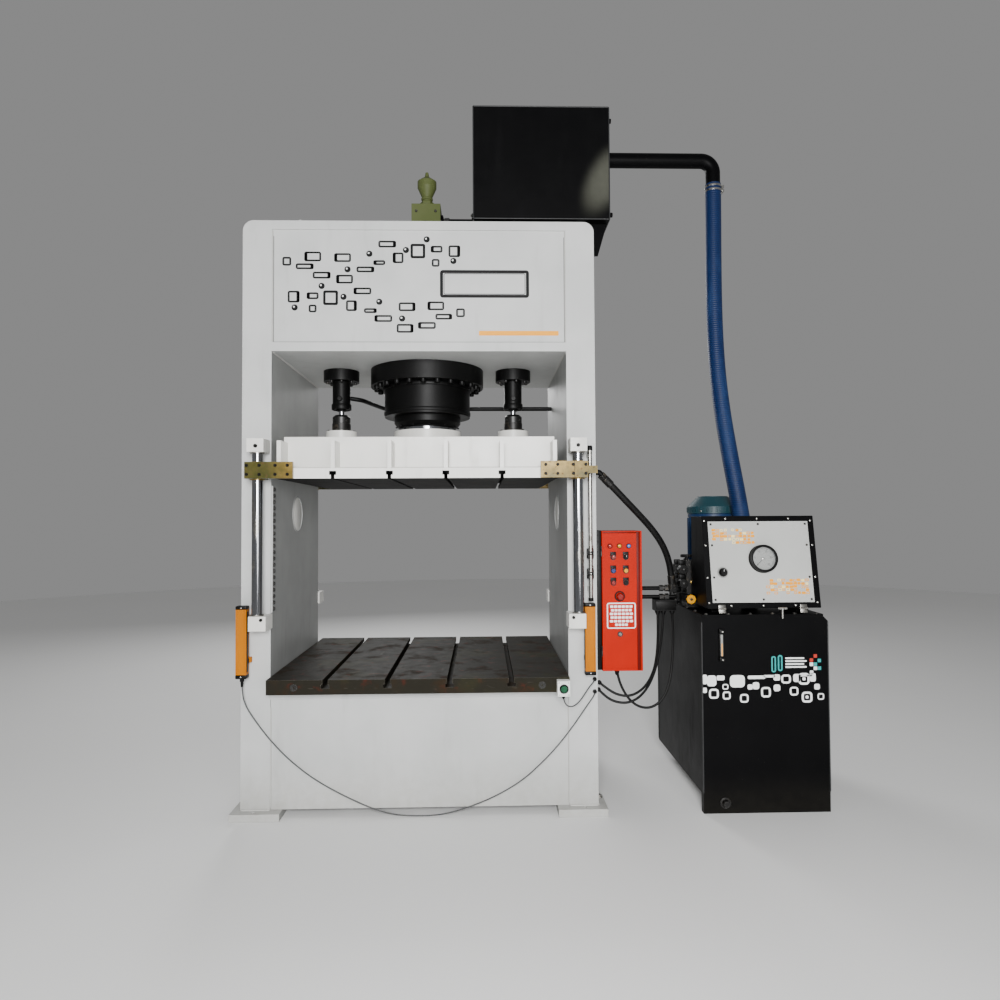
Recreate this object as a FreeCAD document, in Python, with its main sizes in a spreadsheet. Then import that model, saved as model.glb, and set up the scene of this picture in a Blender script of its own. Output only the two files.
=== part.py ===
import FreeCAD, Part
import math
import operator
import os
from types import SimpleNamespace

import Sketcher

# A four-post-guided hydraulic press: welded frame, bed with T-slotted bolster, down-stroking
# platen, main and pull-back cylinders, overhead oil tank, control cabinet and power pack.
# Origin: on the floor, at the centre of the four anchor holes. +X is the operator's right,
# -Y the operator's side, +Z up. Millimetres.

FRAME_SIZES = {
    "frame_width": 1950, "frame_depth": 1080, "frame_height": 3275,
    "upright_width": 160, "upright_plate": 30, "corner_round": 58,
    "window_radius": 106, "window_height": 1649,
    "crown_bottom": 2545, "crown_plate": 50, "crown_rib_offset": 400,
    "bed_height": 685, "bed_plate": 50, "bed_rib_offset": 400,
    "panel_plate": 30, "panel_recess": 8, "rib_plate": 22,
    "foot_thick": 40, "foot_length": 200, "foot_reach": 55, "foot_inset": 65, "foot_outset": 43,
    "anchor_radius": 11,
}
BOLSTER_SIZES = {
    "bolster_thick": 78, "bolster_side_gap": 8, "bolster_overhang": 108,
    "bed_slot_pitch": 330, "bed_slot_neck": 28, "bed_slot_head": 46,
    "bed_slot_neck_deep": 26, "bed_slot_head_deep": 20,
    "button_box_width": 66, "button_box_deep": 52, "button_box_high": 80, "button_box_inset": 70,
    "button_box_drop": 9,
    "green_button_radius": 17,
}
PLATEN_SIZES = {
    "platen_height": 1832, "platen_plate_thick": 55, "platen_side_gap": 60, "platen_overhang": 135,
    "platen_box_inset": 10, "platen_box_high": 182, "platen_wall": 22, "platen_top_thick": 17,
    "platen_rib_high": 148, "platen_slot_pitch": 300, "platen_slot_neck": 19,
    "platen_slot_head": 37, "platen_slot_neck_deep": 19, "platen_slot_head_deep": 21,
    "ram_seat_radius": 208, "ram_seat_high": 90, "rod_seat_radius": 95, "rod_seat_high": 95,
}
CYLINDER_SIZES = {
    "ram_radius": 170, "ram_top": 3100, "ram_clearance": 0.5, "ram_head_high": 60,
    "barrel_radius": 267, "barrel_bore": 190, "barrel_bottom": 2250, "barrel_top": 3180,
    "barrel_cap": 60, "flange_radius": 352, "flange_thick": 106,
    "gland_radius": 207, "gland_nose_radius": 187, "gland_thick": 64, "gland_nose": 26,
    "pullback_spread": 541, "pullback_radius": 55, "pullback_bore": 36,
    "pullback_bottom": 2307, "pullback_top": 3150, "pullback_cap": 20, "pullback_gland": 40,
    "pullback_flange_radius": 110, "pullback_flange_thick": 68,
    "rod_radius": 17, "rod_top": 3100, "rod_piston_high": 40,
    "coupling_high": 104, "coupling_chamfer": 14,
}
GUIDE_SIZES = {
    "rod_spread": 865, "rod_reach": 615, "guide_rod_radius": 28.5, "guide_clearance": 0.3,
    "rod_bottom": 1024, "rod_length": 1025, "lower_block_high": 78, "lower_block_inner": 60,
    "lower_block_outer": 32, "upper_block_high": 73, "upper_block_half": 45, "block_reach": 45,
    "arm_inner": 656, "arm_outer": 909, "arm_high": 88, "arm_thick": 20,
    "bush_half": 44, "bush_back": 45, "striker_thick": 6, "striker_high": 40, "striker_reach": 50,
    "limit_rod_radius": 11, "limit_rod_bottom": 1165, "limit_rod_length": 836,
    "limit_rod_x": 933, "limit_rod_y": -600,
    "curtain_left": 951, "curtain_right": 927, "curtain_width": 56, "curtain_deep": 46,
    "curtain_bottom": 765, "curtain_high": 385, "curtain_standoff": 26,
}
TANK_SIZES = {
    "tank_left": 299, "tank_right": 1112, "tank_half_deep": 300, "tank_bottom": 3399,
    "tank_top": 4077, "tank_wall": 6, "stand_section": 80, "stand_wall": 8, "gusset_thick": 12,
    "gusset_reach": 133, "gusset_tip": 77, "gusset_drop": 69,
    "outlet_height": 3912, "outlet_radius": 45, "outlet_wall": 5, "outlet_flange_radius": 80,
    "outlet_flange_thick": 22, "outlet_x": 1840, "outlet_end": 3757, "outlet_bend": 80,
    "valve_block": 180, "valve_base_radius": 120, "valve_base_thick": 25, "valve_block_top": 3583,
    "valve_neck_radius": 30, "valve_bulb_radius": 60, "valve_top": 3822,
}
CABINET_SIZES = {
    "cabinet_gap": 28, "cabinet_width": 223, "cabinet_high": 770, "cabinet_bottom": 772,
    "cabinet_front": -550, "cabinet_deep": 200, "cabinet_wall": 3, "door_thick": 6,
    "bezel_radius": 15, "bezel_high": 6, "button_radius": 11, "button_clearance": 0.5,
    "button_proud": 11, "stem_inside": 8, "column_centre": 1100, "column_spacing": 70,
    "row_top": 1398, "row_middle": 1323, "row_bottom": 1256, "stop_height": 1182,
    "stop_radius": 20, "key_height": 974, "key_radius": 8,
}
POWER_SIZES = {
    "pack_left": 1544, "pack_width": 700, "pack_front": -580, "pack_deep": 950,
    "pack_bottom": 100, "pack_top": 1067, "pack_wall": 6, "pack_chamfer": 24,
    "lid_thick": 12, "foot_block": 80, "foot_block_inset": 110,
    "motor_x": 1830, "motor_y": 60, "motor_radius": 150, "motor_bore": 105,
    "motor_bottom": 1180, "motor_top": 1640, "motor_shield": 20, "shaft_radius": 19,
    "shaft_clearance": 0.2, "rotor_radius": 98, "cowl_radius": 160, "cowl_top": 1745,
    "cowl_chamfer": 62, "cowl_wall": 3, "fan_radius": 120, "fan_thick": 14,
    "bell_radius": 125, "bell_bore": 70, "bell_flange": 12, "pump_radius": 80, "pump_high": 170,
    "console_left": 1583, "console_width": 637, "console_front": -557, "console_bottom": 1111,
    "console_face": 516, "console_deep": 270, "console_tilt": 9.26, "console_wall": 3,
    "console_panel_width": 570, "console_panel_high": 455, "console_panel_thick": 4,
    "gauge_radius": 75, "gauge_rim": 8, "gauge_deep": 30, "gauge_x": 1912, "gauge_up": 272,
    "needle_length": 52, "knob_radius": 23, "knob_x": 1683, "knob_up": 198, "knob_deep": 24,
    "manifold_x": 1620, "manifold_y": -190, "manifold_width": 110, "manifold_top": 1356,
    "valve_width": 56, "valve_high": 52, "valve_deep": 70, "coil_radius": 26, "coil_length": 62,
    "valve_low": 0.22, "valve_step": 0.3, "throttle_width": 40, "throttle_deep": 125,
    "wheel_inset": 12, "wheel_radius": 25, "wheel_thick": 22, "handwheel_radius": 34, "tee_x": 1987, "tee_bar": 25,
    "tee_stem": 54,
}
CORD_SIZES = {
    "suction_hose_radius": 50, "pressure_hose_radius": 19, "loop_radius": 7, "curtain_cable": 3.5,
    "service_pipe_radius": 12, "upper_pipe_height": 1188, "lower_pipe_height": 1136,
    "tee_block": 40, "gland_radius_small": 8, "gland_radius_large": 12, "gland_length": 20,
    "curtain_gland_length": 30, "button_gland_length": 8,
    "pipe_radius": 13.5, "pipe_y": 300, "pipe_height": 2356, "pipe_bend": 60,
}
ALL_SIZES = {**FRAME_SIZES, **BOLSTER_SIZES, **PLATEN_SIZES, **CYLINDER_SIZES, **GUIDE_SIZES,
             **TANK_SIZES, **CABINET_SIZES, **POWER_SIZES, **CORD_SIZES}
OPERATIONS = {"+": operator.add, "-": operator.sub, "*": operator.mul, "/": operator.truediv}
AXES = {"X": FreeCAD.Vector(1, 0, 0), "Y": FreeCAD.Vector(0, 1, 0), "Z": FreeCAD.Vector(0, 0, 1),
        "-X": FreeCAD.Vector(-1, 0, 0), "-Y": FreeCAD.Vector(0, -1, 0),
        "-Z": FreeCAD.Vector(0, 0, -1)}

# Cord routes, chosen by hand: the corners that each cord rounds on its way.
SUCTION_POINTS = [
    (1840, 0, 3757), (1838, -4, 3560), (1832, -14, 3330), (1826, -28, 3060), (1824, -44, 2780),
    (1831, -64, 2510), (1850, -92, 2250), (1880, -126, 1990), (1914, -156, 1740),
    (1944, -172, 1510), (1960, -178, 1330), (1966, -180, 1180)]
HOSE_POINTS = [
    (1026, -476, 1846), (1084, -462, 1790), (1158, -440, 1716), (1246, -402, 1632),
    (1328, -358, 1552), (1398, -310, 1468), (1446, -264, 1382), (1474, -228, 1294),
    (1486, -208, 1206)]
LOOP_A_POINTS = [
    (995, -470, 692), (1040, -480, 656), (1096, -494, 626), (1160, -500, 620),
    (1222, -490, 644), (1274, -464, 686), (1318, -424, 748), (1348, -372, 826),
    (1368, -318, 912), (1381, -270, 988), (1388, -240, 1060)]
LOOP_B_POINTS = [
    (995, -440, 646), (1036, -456, 604), (1092, -474, 580), (1158, -482, 578),
    (1222, -468, 604), (1278, -442, 656), (1324, -404, 726), (1360, -362, 810),
    (1388, -316, 900), (1410, -272, 985), (1422, -240, 1060)]
CABINET_POINTS = [
    (1100, -450, 752), (1108, -451, 706), (1132, -454, 644), (1168, -457, 588),
    (1220, -457, 549), (1282, -455, 540), (1338, -448, 566), (1380, -434, 616),
    (1410, -414, 684), (1430, -386, 766), (1446, -350, 850), (1459, -312, 930),
    (1468, -274, 1000), (1474, -240, 1060)]
CURTAIN_POINTS = [
    (-951, -590, 735), (-950, -587, 676), (-935, -578, 612), (-896, -574, 548),
    (-848, -571, 480), (-794, -569, 412), (-732, -568, 346), (-666, -567, 286),
    (-592, -566, 228), (-514, -565, 178), (-432, -564, 132), (-348, -563, 90),
    (-264, -562, 52), (-182, -561, 24), (-100, -560, 9), (-22, -560, 6), (56, -560, 6),
    (132, -561, 14), (208, -561, 32), (288, -562, 58), (366, -563, 88), (442, -564, 124),
    (516, -565, 166), (584, -566, 214), (644, -567, 268), (702, -568, 324), (756, -570, 384),
    (806, -572, 446), (850, -575, 506), (888, -578, 562), (920, -580, 608), (946, -576, 640),
    (958, -560, 660)]
BUTTON_POINTS = [
    (770, -674, 666), (773, -672, 642), (790, -662, 614), (824, -642, 604), (860, -620, 622),
    (890, -604, 656), (916, -592, 690), (940, -580, 714), (958, -560, 728)]

doc = FreeCAD.newDocument("hydraulic_press")
nodes = []


class Size:
    """A length with its number and the spreadsheet formula that it comes from."""

    def __init__(self, number, formula):
        self.number = float(number)
        self.formula = formula

    def __add__(self, other):
        return joined(self, "+", other)

    def __radd__(self, other):
        return joined(other, "+", self)

    def __sub__(self, other):
        return joined(self, "-", other)

    def __rsub__(self, other):
        return joined(other, "-", self)

    def __mul__(self, other):
        return joined(self, "*", other)

    def __rmul__(self, other):
        return joined(other, "*", self)

    def __truediv__(self, other):
        return joined(self, "/", other)

    def __neg__(self):
        return joined(0, "-", self)


def as_size(value):
    return value if isinstance(value, Size) else Size(value, repr(float(value)))


def joined(left, sign, right):
    left = as_size(left)
    right = as_size(right)
    number = OPERATIONS[sign](left.number, right.number)
    return Size(number, f"({left.formula} {sign} {right.formula})")


def make_sheet():
    """Puts every driving size in the sheet and gives them back as named sizes."""
    sheet = doc.addObject("Spreadsheet::Sheet", "sizes")
    for row, (name, value) in enumerate(ALL_SIZES.items(), start=1):
        sheet.set(f"A{row}", name)
        sheet.set(f"B{row}", str(value))
        sheet.setAlias(f"B{row}", name)
    doc.recompute()
    return SimpleNamespace(**{name: Size(sheet.get(name), f"sizes.{name}") for name in ALL_SIZES})


s = make_sheet()


# ---- helpers: bound primitives, booleans, sketched bodies and tubes ----

def bind(item, prop, value):
    item.setExpression(prop, as_size(value).formula)


def place(item, at, axis="Z"):
    """Puts an item at a bound position, with its own Z axis turned to the named axis."""
    item.Placement.Rotation = FreeCAD.Rotation(AXES["Z"], AXES[axis])
    for letter, value in zip("xyz", at):
        bind(item, f"Placement.Base.{letter}", value)
    return item


def box(name, size, at):
    item = doc.addObject("Part::Box", name)
    for prop, value in zip(("Length", "Width", "Height"), size):
        bind(item, prop, value)
    return place(item, at)


def rod(name, radius, length, at, axis="Z"):
    item = doc.addObject("Part::Cylinder", name)
    bind(item, "Radius", radius)
    bind(item, "Height", length)
    return place(item, at, axis)


def cone(name, radius, tip, length, at, axis="Z"):
    item = doc.addObject("Part::Cone", name)
    bind(item, "Radius1", radius)
    bind(item, "Radius2", tip)
    bind(item, "Height", length)
    return place(item, at, axis)


def fuse(name, items):
    item = doc.addObject("Part::MultiFuse", name)
    item.Shapes = items
    item.Refine = True
    return item


def cut(name, base, tools):
    item = doc.addObject("Part::Cut", name)
    item.Base = base
    item.Tool = tools[0] if len(tools) == 1 else fuse(name + "_tools", tools)
    return item


def group(name, items):
    item = doc.addObject("Part::Compound", name)
    item.Links = items
    return item


def node(label, item):
    """Names a finished sub-part, which is written to its own file."""
    item.Label = label
    nodes.append(item)
    return item


def origin_plane(body, role):
    return [plane for plane in body.Origin.OriginFeatures if plane.Role == role][0]


def new_body(name, at, axis="Z"):
    return place(doc.addObject("PartDesign::Body", name), at, axis)


def new_sketch(body, role, name):
    sketch = body.newObject("Sketcher::SketchObject", name)
    sketch.AttachmentSupport = [(origin_plane(body, role), "")]
    sketch.MapMode = "FlatFace"
    return sketch


def fix_point(sketch, line, start, value, kind, axis):
    """Ties a point's coordinate to the sheet, or to the sketch axis where it is zero."""
    value = as_size(value)
    if value.number == 0:
        sketch.addConstraint(Sketcher.Constraint("PointOnObject", line, start, axis))
        return
    index = sketch.addConstraint(Sketcher.Constraint(kind, -1, 1, line, start, value.number))
    sketch.setExpression(f"Constraints[{index}]", value.formula)


def draw_outline(sketch, corners):
    """Draws a closed outline of straight lines with every corner tied to the sheet."""
    points = [FreeCAD.Vector(as_size(x).number, as_size(y).number, 0) for x, y in corners]
    count = len(points)
    for i in range(count):
        sketch.addGeometry(Part.LineSegment(points[i], points[(i + 1) % count]))
    for i in range(count):
        sketch.addConstraint(Sketcher.Constraint("Coincident", i, 2, (i + 1) % count, 1))
    for i, (x, y) in enumerate(corners):
        fix_point(sketch, i, 1, x, "DistanceX", -2)
        fix_point(sketch, i, 1, y, "DistanceY", -1)


def padded(name, role, corners, depth, at, symmetric=False):
    """A body padded from one outline; its sketch plane is one of the body's own planes."""
    body = new_body(name, at)
    sketch = new_sketch(body, role, name + "_outline")
    draw_outline(sketch, corners)
    pad = body.newObject("PartDesign::Pad", name + "_pad")
    pad.Profile = sketch
    pad.SideType = "Symmetric" if symmetric else "One side"
    bind(pad, "Length", depth)
    return body


def revolved(name, profile, at, axis="Z"):
    """A turned body: the profile is (radius, height) pairs about the body's own Z axis."""
    body = new_body(name, at, axis)
    sketch = new_sketch(body, "XZ_Plane", name + "_profile")
    draw_outline(sketch, profile)
    turn = body.newObject("PartDesign::Revolution", name + "_turn")
    turn.Profile = sketch
    turn.ReferenceAxis = (sketch, ["V_Axis"])
    turn.Angle = 360
    return body


def ring_profile(bore, radius, low, high):
    return [(bore, low), (radius, low), (radius, high), (bore, high)]


def plain(value):
    return value.number if isinstance(value, Size) else float(value)


def tube_path(points, bend=None):
    """Straight runs joined by tangent arcs; with no bend given, each arc is as large as fits."""
    corners = [FreeCAD.Vector(*[plain(value) for value in point]) for point in points]
    edges = []
    radii = []
    start = corners[0]
    for before, corner, after in zip(corners, corners[1:], corners[2:]):
        to_start = (before - corner).normalize()
        to_end = (after - corner).normalize()
        half_turn = (math.pi - to_start.getAngle(to_end)) / 2
        reach = 0.45 * min((before - corner).Length, (after - corner).Length)
        radius = reach / math.tan(half_turn) if bend is None else bend
        reach = radius * math.tan(half_turn)
        middle = (to_start + to_end).normalize()
        apex = corner + middle * (radius / math.cos(half_turn) - radius)
        arc_start = corner + to_start * reach
        arc_end = corner + to_end * reach
        edges.append(Part.LineSegment(start, arc_start).toShape())
        edges.append(Part.Arc(arc_start, apex, arc_end).toShape())
        radii.append(radius)
        start = arc_end
    edges.append(Part.LineSegment(start, corners[-1]).toShape())
    return Part.Wire(edges), radii


def tube(name, points, radius, bend=None, bore=None):
    """A round tube along straight runs and tangent arcs, checked against section times length."""
    path, radii = tube_path(points, bend)
    heading = path.Edges[0].tangentAt(path.Edges[0].FirstParameter)
    start = FreeCAD.Vector(*[plain(value) for value in points[0]])
    shape = swept(path, start, heading, plain(radius))
    section = math.pi * plain(radius) ** 2
    if bore is not None:
        shape = shape.cut(swept(path, start, heading, plain(bore)))
        section -= math.pi * plain(bore) ** 2
    share = shape.Volume / (section * path.Length)
    if abs(share - 1) > 0.01:
        raise ValueError(f"{name}: tube volume is {share:.3f} of its section times its length")
    if bend is None:
        print(f"{name}: {path.Length:.0f} mm, smallest radius {min(radii):.0f} mm")
    item = doc.addObject("Part::Feature", name)
    item.Shape = shape
    return item


def swept(path, start, heading, radius):
    ring = Part.Wire([Part.Circle(start, heading, radius).toShape()])
    return path.makePipeShell([ring], True, False)


# ---- frame ----

half_width = s.frame_width / 2
half_depth = s.frame_depth / 2
opening = half_width - s.upright_width
bolster_top = s.bed_height + s.bolster_thick


def make_upright(name, side):
    """A hollow welded box with a rounded outer top corner and a round window through it."""
    left = -half_width if side < 0 else opening
    outer = 0 if side < 0 else s.upright_width
    high = s.frame_height - s.foot_thick
    wide = s.upright_width
    body = padded(name + "_box", "XZ_Plane", [(0, 0), (wide, 0), (wide, high), (0, high)],
                  s.frame_depth, (left, 0, s.foot_thick), symmetric=True)
    doc.recompute()
    round_edge(body, plain(outer), plain(high))
    inside = box(name + "_inside", (wide - s.upright_plate * 2, s.frame_depth - s.upright_plate * 2,
                                    high - s.upright_plate * 2),
                 (left + s.upright_plate, -half_depth + s.upright_plate,
                  s.foot_thick + s.upright_plate))
    window = rod(name + "_window", s.window_radius, wide * 2,
                 (left - wide / 2, 0, s.window_height), "X")
    return node(name, cut(name + "_shell", body, [inside, window]))


def round_edge(body, x, z):
    """Rounds the body's long edge that stands at x, z in the body's own frame."""
    pad = body.Tip
    names = []
    for index, edge in enumerate(pad.Shape.Edges, start=1):
        middle = edge.CenterOfMass
        if abs(middle.x - x) < 1 and abs(middle.z - z) < 1:
            names.append(f"Edge{index}")
    fillet = body.newObject("PartDesign::Fillet", body.Name + "_round")
    fillet.Base = (pad, names)
    bind(fillet, "Radius", s.corner_round)


def make_crown():
    """Two thick plates, recessed front and rear plates and inner ribs, bored for cylinders."""
    wide = opening * 2
    high = s.frame_height - s.crown_bottom
    inner_high = high - s.crown_plate * 2
    low = s.crown_bottom + s.crown_plate
    front = -half_depth + s.panel_recess
    pieces = [
        box("crown_bottom_plate", (wide, s.frame_depth, s.crown_plate),
            (-opening, -half_depth, s.crown_bottom)),
        box("crown_top_plate", (wide, s.frame_depth, s.crown_plate),
            (-opening, -half_depth, s.frame_height - s.crown_plate)),
        box("crown_front_plate", (wide, s.panel_plate, inner_high), (-opening, front, low)),
        box("crown_rear_plate", (wide, s.panel_plate, inner_high),
            (-opening, -front - s.panel_plate, low)),
    ]
    for side in (-1, 1):
        pieces.append(box(f"crown_rib_{side + 1}", (s.rib_plate, -front * 2, inner_high),
                          (side * s.crown_rib_offset - s.rib_plate / 2, front, low)))
    bores = [rod("crown_bore", s.barrel_radius + 1, s.crown_plate * 2,
                 (0, 0, s.crown_bottom - s.crown_plate / 2))]
    for side in (-1, 1):
        bores.append(rod(f"crown_small_bore_{side + 1}", s.pullback_radius + 1, s.crown_plate * 2,
                         (side * s.pullback_spread, 0, s.crown_bottom - s.crown_plate / 2)))
    node("crown", cut("crown_weldment", fuse("crown_plates", pieces), bores))


def make_bed():
    """Top plate on recessed front and rear panels with inner ribs, open underneath."""
    wide = opening * 2
    front = -half_depth + s.panel_recess
    high = s.bed_height - s.bed_plate - s.foot_thick
    pieces = [
        box("bed_top_plate", (wide, s.frame_depth, s.bed_plate),
            (-opening, -half_depth, s.bed_height - s.bed_plate)),
        box("bed_front_panel", (wide, s.panel_plate, high), (-opening, front, s.foot_thick)),
        box("bed_rear_panel", (wide, s.panel_plate, high),
            (-opening, -front - s.panel_plate, s.foot_thick)),
    ]
    for step in (-1, 0, 1):
        pieces.append(box(f"bed_rib_{step + 1}", (s.rib_plate, -front * 2, high),
                          (step * s.bed_rib_offset - s.rib_plate / 2, front, s.foot_thick)))
    node("bed", fuse("bed_weldment", pieces))


def make_foot_plates():
    wide = s.foot_inset + s.upright_width + s.foot_outset
    plates = []
    for side_x in (-1, 1):
        for side_y in (-1, 1):
            tag = f"{side_x + 1}{side_y + 1}"
            centre_x = side_x * (opening - s.foot_inset + wide / 2)
            centre_y = side_y * (half_depth + s.foot_reach - s.foot_length / 2)
            plate = box("foot_" + tag, (wide, s.foot_length, s.foot_thick),
                        (centre_x - wide / 2, centre_y - s.foot_length / 2, 0))
            hole = rod("anchor_" + tag, s.anchor_radius, s.foot_thick * 2,
                       (side_x * (half_width - s.upright_width / 2),
                        side_y * (half_depth + s.foot_reach / 2), -s.foot_thick / 2))
            plates.append(cut("foot_plate_" + tag, plate, [hole]))
    node("foot_plates", group("foot_plate_set", plates))


def slotted_plate(name, half_x, long, thick, at, slot, pitch, facing):
    """A plate with four T-slots along Y, cut from its top (1) or from its underside (-1)."""
    neck, head, neck_deep, head_deep = slot
    body = padded(name, "XZ_Plane", [(0, 0), (half_x * 2, 0), (half_x * 2, thick), (0, thick)],
                  long, at, symmetric=True)
    sketch = new_sketch(body, "XZ_Plane", name + "_slot")
    middle = half_x - pitch * 1.5
    mouth = thick if facing > 0 else 0
    shoulder = thick - neck_deep if facing > 0 else neck_deep
    bottom = thick - neck_deep - head_deep if facing > 0 else neck_deep + head_deep
    draw_outline(sketch, [(middle - neck / 2, mouth), (middle + neck / 2, mouth),
                          (middle + neck / 2, shoulder), (middle + head / 2, shoulder),
                          (middle + head / 2, bottom), (middle - head / 2, bottom),
                          (middle - head / 2, shoulder), (middle - neck / 2, shoulder)])
    pocket = body.newObject("PartDesign::Pocket", name + "_pocket")
    pocket.Profile = sketch
    pocket.SideType = "Symmetric"
    bind(pocket, "Length", long * 2)
    pattern = body.newObject("PartDesign::LinearPattern", name + "_slots")
    pattern.Originals = [pocket]
    pattern.Direction = (sketch, ["H_Axis"])
    bind(pattern, "Length", pitch * 3)
    pattern.Occurrences = 4
    body.Tip = pattern
    return body


def make_bolster():
    half_x = opening - s.bolster_side_gap
    slot = (s.bed_slot_neck, s.bed_slot_head, s.bed_slot_neck_deep, s.bed_slot_head_deep)
    node("bolster", slotted_plate("bolster_plate", half_x, s.frame_depth + s.bolster_overhang * 2,
                                  s.bolster_thick, (-half_x, 0, s.bed_height), slot,
                                  s.bed_slot_pitch, 1))


def make_button_box():
    """The box that starts the stroke, on the bolster's front edge, and its green button."""
    left = opening - s.bolster_side_gap - s.button_box_inset
    back = -half_depth - s.bolster_overhang
    front = back - s.button_box_deep
    low = bolster_top - s.button_box_high - s.button_box_drop
    middle = (left + s.button_box_width / 2, low + s.button_box_high / 2)
    shell = box("button_shell", (s.button_box_width, s.button_box_deep, s.button_box_high),
                (left, front, low))
    bore = s.green_button_radius + s.button_clearance
    room = rod("button_room", bore, s.button_box_deep - s.door_thick,
               (middle[0], front - 1, middle[1]), "Y")
    node("button_box", cut("button_housing", shell, [room]))
    node("green_button", rod("green_cap", s.green_button_radius, s.button_proud + s.stem_inside,
                             (middle[0], front - s.button_proud, middle[1]), "Y"))


# ---- platen ----

platen_half = opening - s.platen_side_gap
platen_reach = half_depth + s.platen_overhang
plate_top = s.platen_height + s.platen_plate_thick
platen_top = plate_top + s.platen_box_high


def make_platen_plate():
    slot = (s.platen_slot_neck, s.platen_slot_head, s.platen_slot_neck_deep,
            s.platen_slot_head_deep)
    node("platen_plate", slotted_plate("platen_bottom", platen_half, platen_reach * 2,
                                       s.platen_plate_thick, (-platen_half, 0, s.platen_height),
                                       slot, s.platen_slot_pitch, -1))


def make_platen_box():
    """Hollow web box with outside ribs front and rear, and round seats for ram and rods."""
    half_x = platen_half - s.platen_box_inset
    outer = box("platen_outer", (half_x * 2, s.frame_depth, s.platen_box_high),
                (-half_x, -half_depth, plate_top))
    inner_high = s.platen_box_high - s.platen_top_thick
    rooms = []
    bays = 5
    bay = (half_x * 2 - s.platen_wall * (bays + 1)) / bays
    for i in range(bays):
        rooms.append(box(f"platen_bay_{i}", (bay, s.frame_depth - s.platen_wall * 2, inner_high),
                         (-half_x + s.platen_wall + (bay + s.platen_wall) * i,
                          -half_depth + s.platen_wall, plate_top)))
    pieces = [cut("platen_hollow", outer, rooms)]
    places = [s.platen_slot_pitch * step for step in (-1.5, -0.5, 0.5, 1.5)]
    places += [-half_x + s.rib_plate / 2, half_x - s.rib_plate / 2]
    for i, middle in enumerate(places):
        for side, low_y in ((0, -platen_reach), (1, half_depth)):
            pieces.append(box(f"platen_rib_{i}_{side}",
                              (s.rib_plate, s.platen_overhang, s.platen_rib_high),
                              (middle - s.rib_plate / 2, low_y, plate_top)))
    pieces.append(rod("ram_seat", s.ram_seat_radius, s.ram_seat_high, (0, 0, platen_top)))
    for side in (-1, 1):
        pieces.append(rod(f"rod_seat_{side + 1}", s.rod_seat_radius, s.rod_seat_high,
                          (side * s.pullback_spread, 0, platen_top)))
    bores = [rod("ram_seat_bore", s.ram_radius, s.ram_seat_high, (0, 0, platen_top))]
    for side in (-1, 1):
        bores.append(rod(f"rod_seat_bore_{side + 1}", s.rod_radius, s.rod_seat_high,
                         (side * s.pullback_spread, 0, platen_top)))
    node("platen_box", cut("platen_weldment", fuse("platen_webs", pieces), bores))


# ---- cylinders ----

def make_main_cylinder():
    flange_low = s.crown_bottom - s.flange_thick - s.barrel_bottom
    flange_high = s.crown_bottom - s.barrel_bottom
    high = s.barrel_top - s.barrel_bottom
    node("cylinder_barrel", revolved("barrel", [
        (s.barrel_bore, 0), (s.barrel_radius, 0), (s.barrel_radius, flange_low),
        (s.flange_radius, flange_low), (s.flange_radius, flange_high),
        (s.barrel_radius, flange_high), (s.barrel_radius, high), (0, high),
        (0, high - s.barrel_cap), (s.barrel_bore, high - s.barrel_cap)],
        (0, 0, s.barrel_bottom)))
    bore = s.ram_radius + s.ram_clearance
    node("cylinder_gland", revolved("gland", [
        (bore, 0), (s.gland_nose_radius, 0), (s.gland_radius, s.gland_nose),
        (s.gland_radius, s.gland_thick), (bore, s.gland_thick)],
        (0, 0, s.barrel_bottom - s.gland_thick)))
    head = s.barrel_bore - s.ram_clearance
    high = s.ram_top - platen_top
    node("ram", revolved("ram_bar", [
        (0, 0), (s.ram_radius, 0), (s.ram_radius, high - s.ram_head_high),
        (head, high - s.ram_head_high), (head, high), (0, high)], (0, 0, platen_top)))


def make_pullback_cylinder(side):
    """One small cylinder that lifts the platen: barrel with flange and bored gland end."""
    flange_low = s.crown_bottom - s.pullback_flange_thick - s.pullback_bottom
    flange_high = s.crown_bottom - s.pullback_bottom
    high = s.pullback_top - s.pullback_bottom
    rod_bore = s.rod_radius + s.guide_clearance
    return revolved(f"pullback_barrel_{side + 1}", [
        (rod_bore, 0), (s.pullback_radius, 0), (s.pullback_radius, flange_low),
        (s.pullback_flange_radius, flange_low), (s.pullback_flange_radius, flange_high),
        (s.pullback_radius, flange_high), (s.pullback_radius, high), (0, high),
        (0, high - s.pullback_cap), (s.pullback_bore, high - s.pullback_cap),
        (s.pullback_bore, s.pullback_gland), (rod_bore, s.pullback_gland)],
        (side * s.pullback_spread, 0, s.pullback_bottom))


def make_pullback_rod(side):
    """Rod with its piston and the round coupling nut that ties it to the platen's seat."""
    high = s.rod_top - platen_top
    low = s.rod_seat_high
    nut = s.pullback_radius
    piston = s.pullback_bore - s.guide_clearance
    return revolved(f"pullback_rod_{side + 1}", [
        (0, 0), (s.rod_radius, 0), (s.rod_radius, low), (nut, low),
        (nut, low + s.coupling_high - s.coupling_chamfer),
        (nut - s.coupling_chamfer, low + s.coupling_high), (s.rod_radius, low + s.coupling_high),
        (s.rod_radius, high - s.rod_piston_high), (piston, high - s.rod_piston_high),
        (piston, high), (0, high)], (side * s.pullback_spread, 0, platen_top))


# ---- guides, safety bars and limit rod ----

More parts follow.
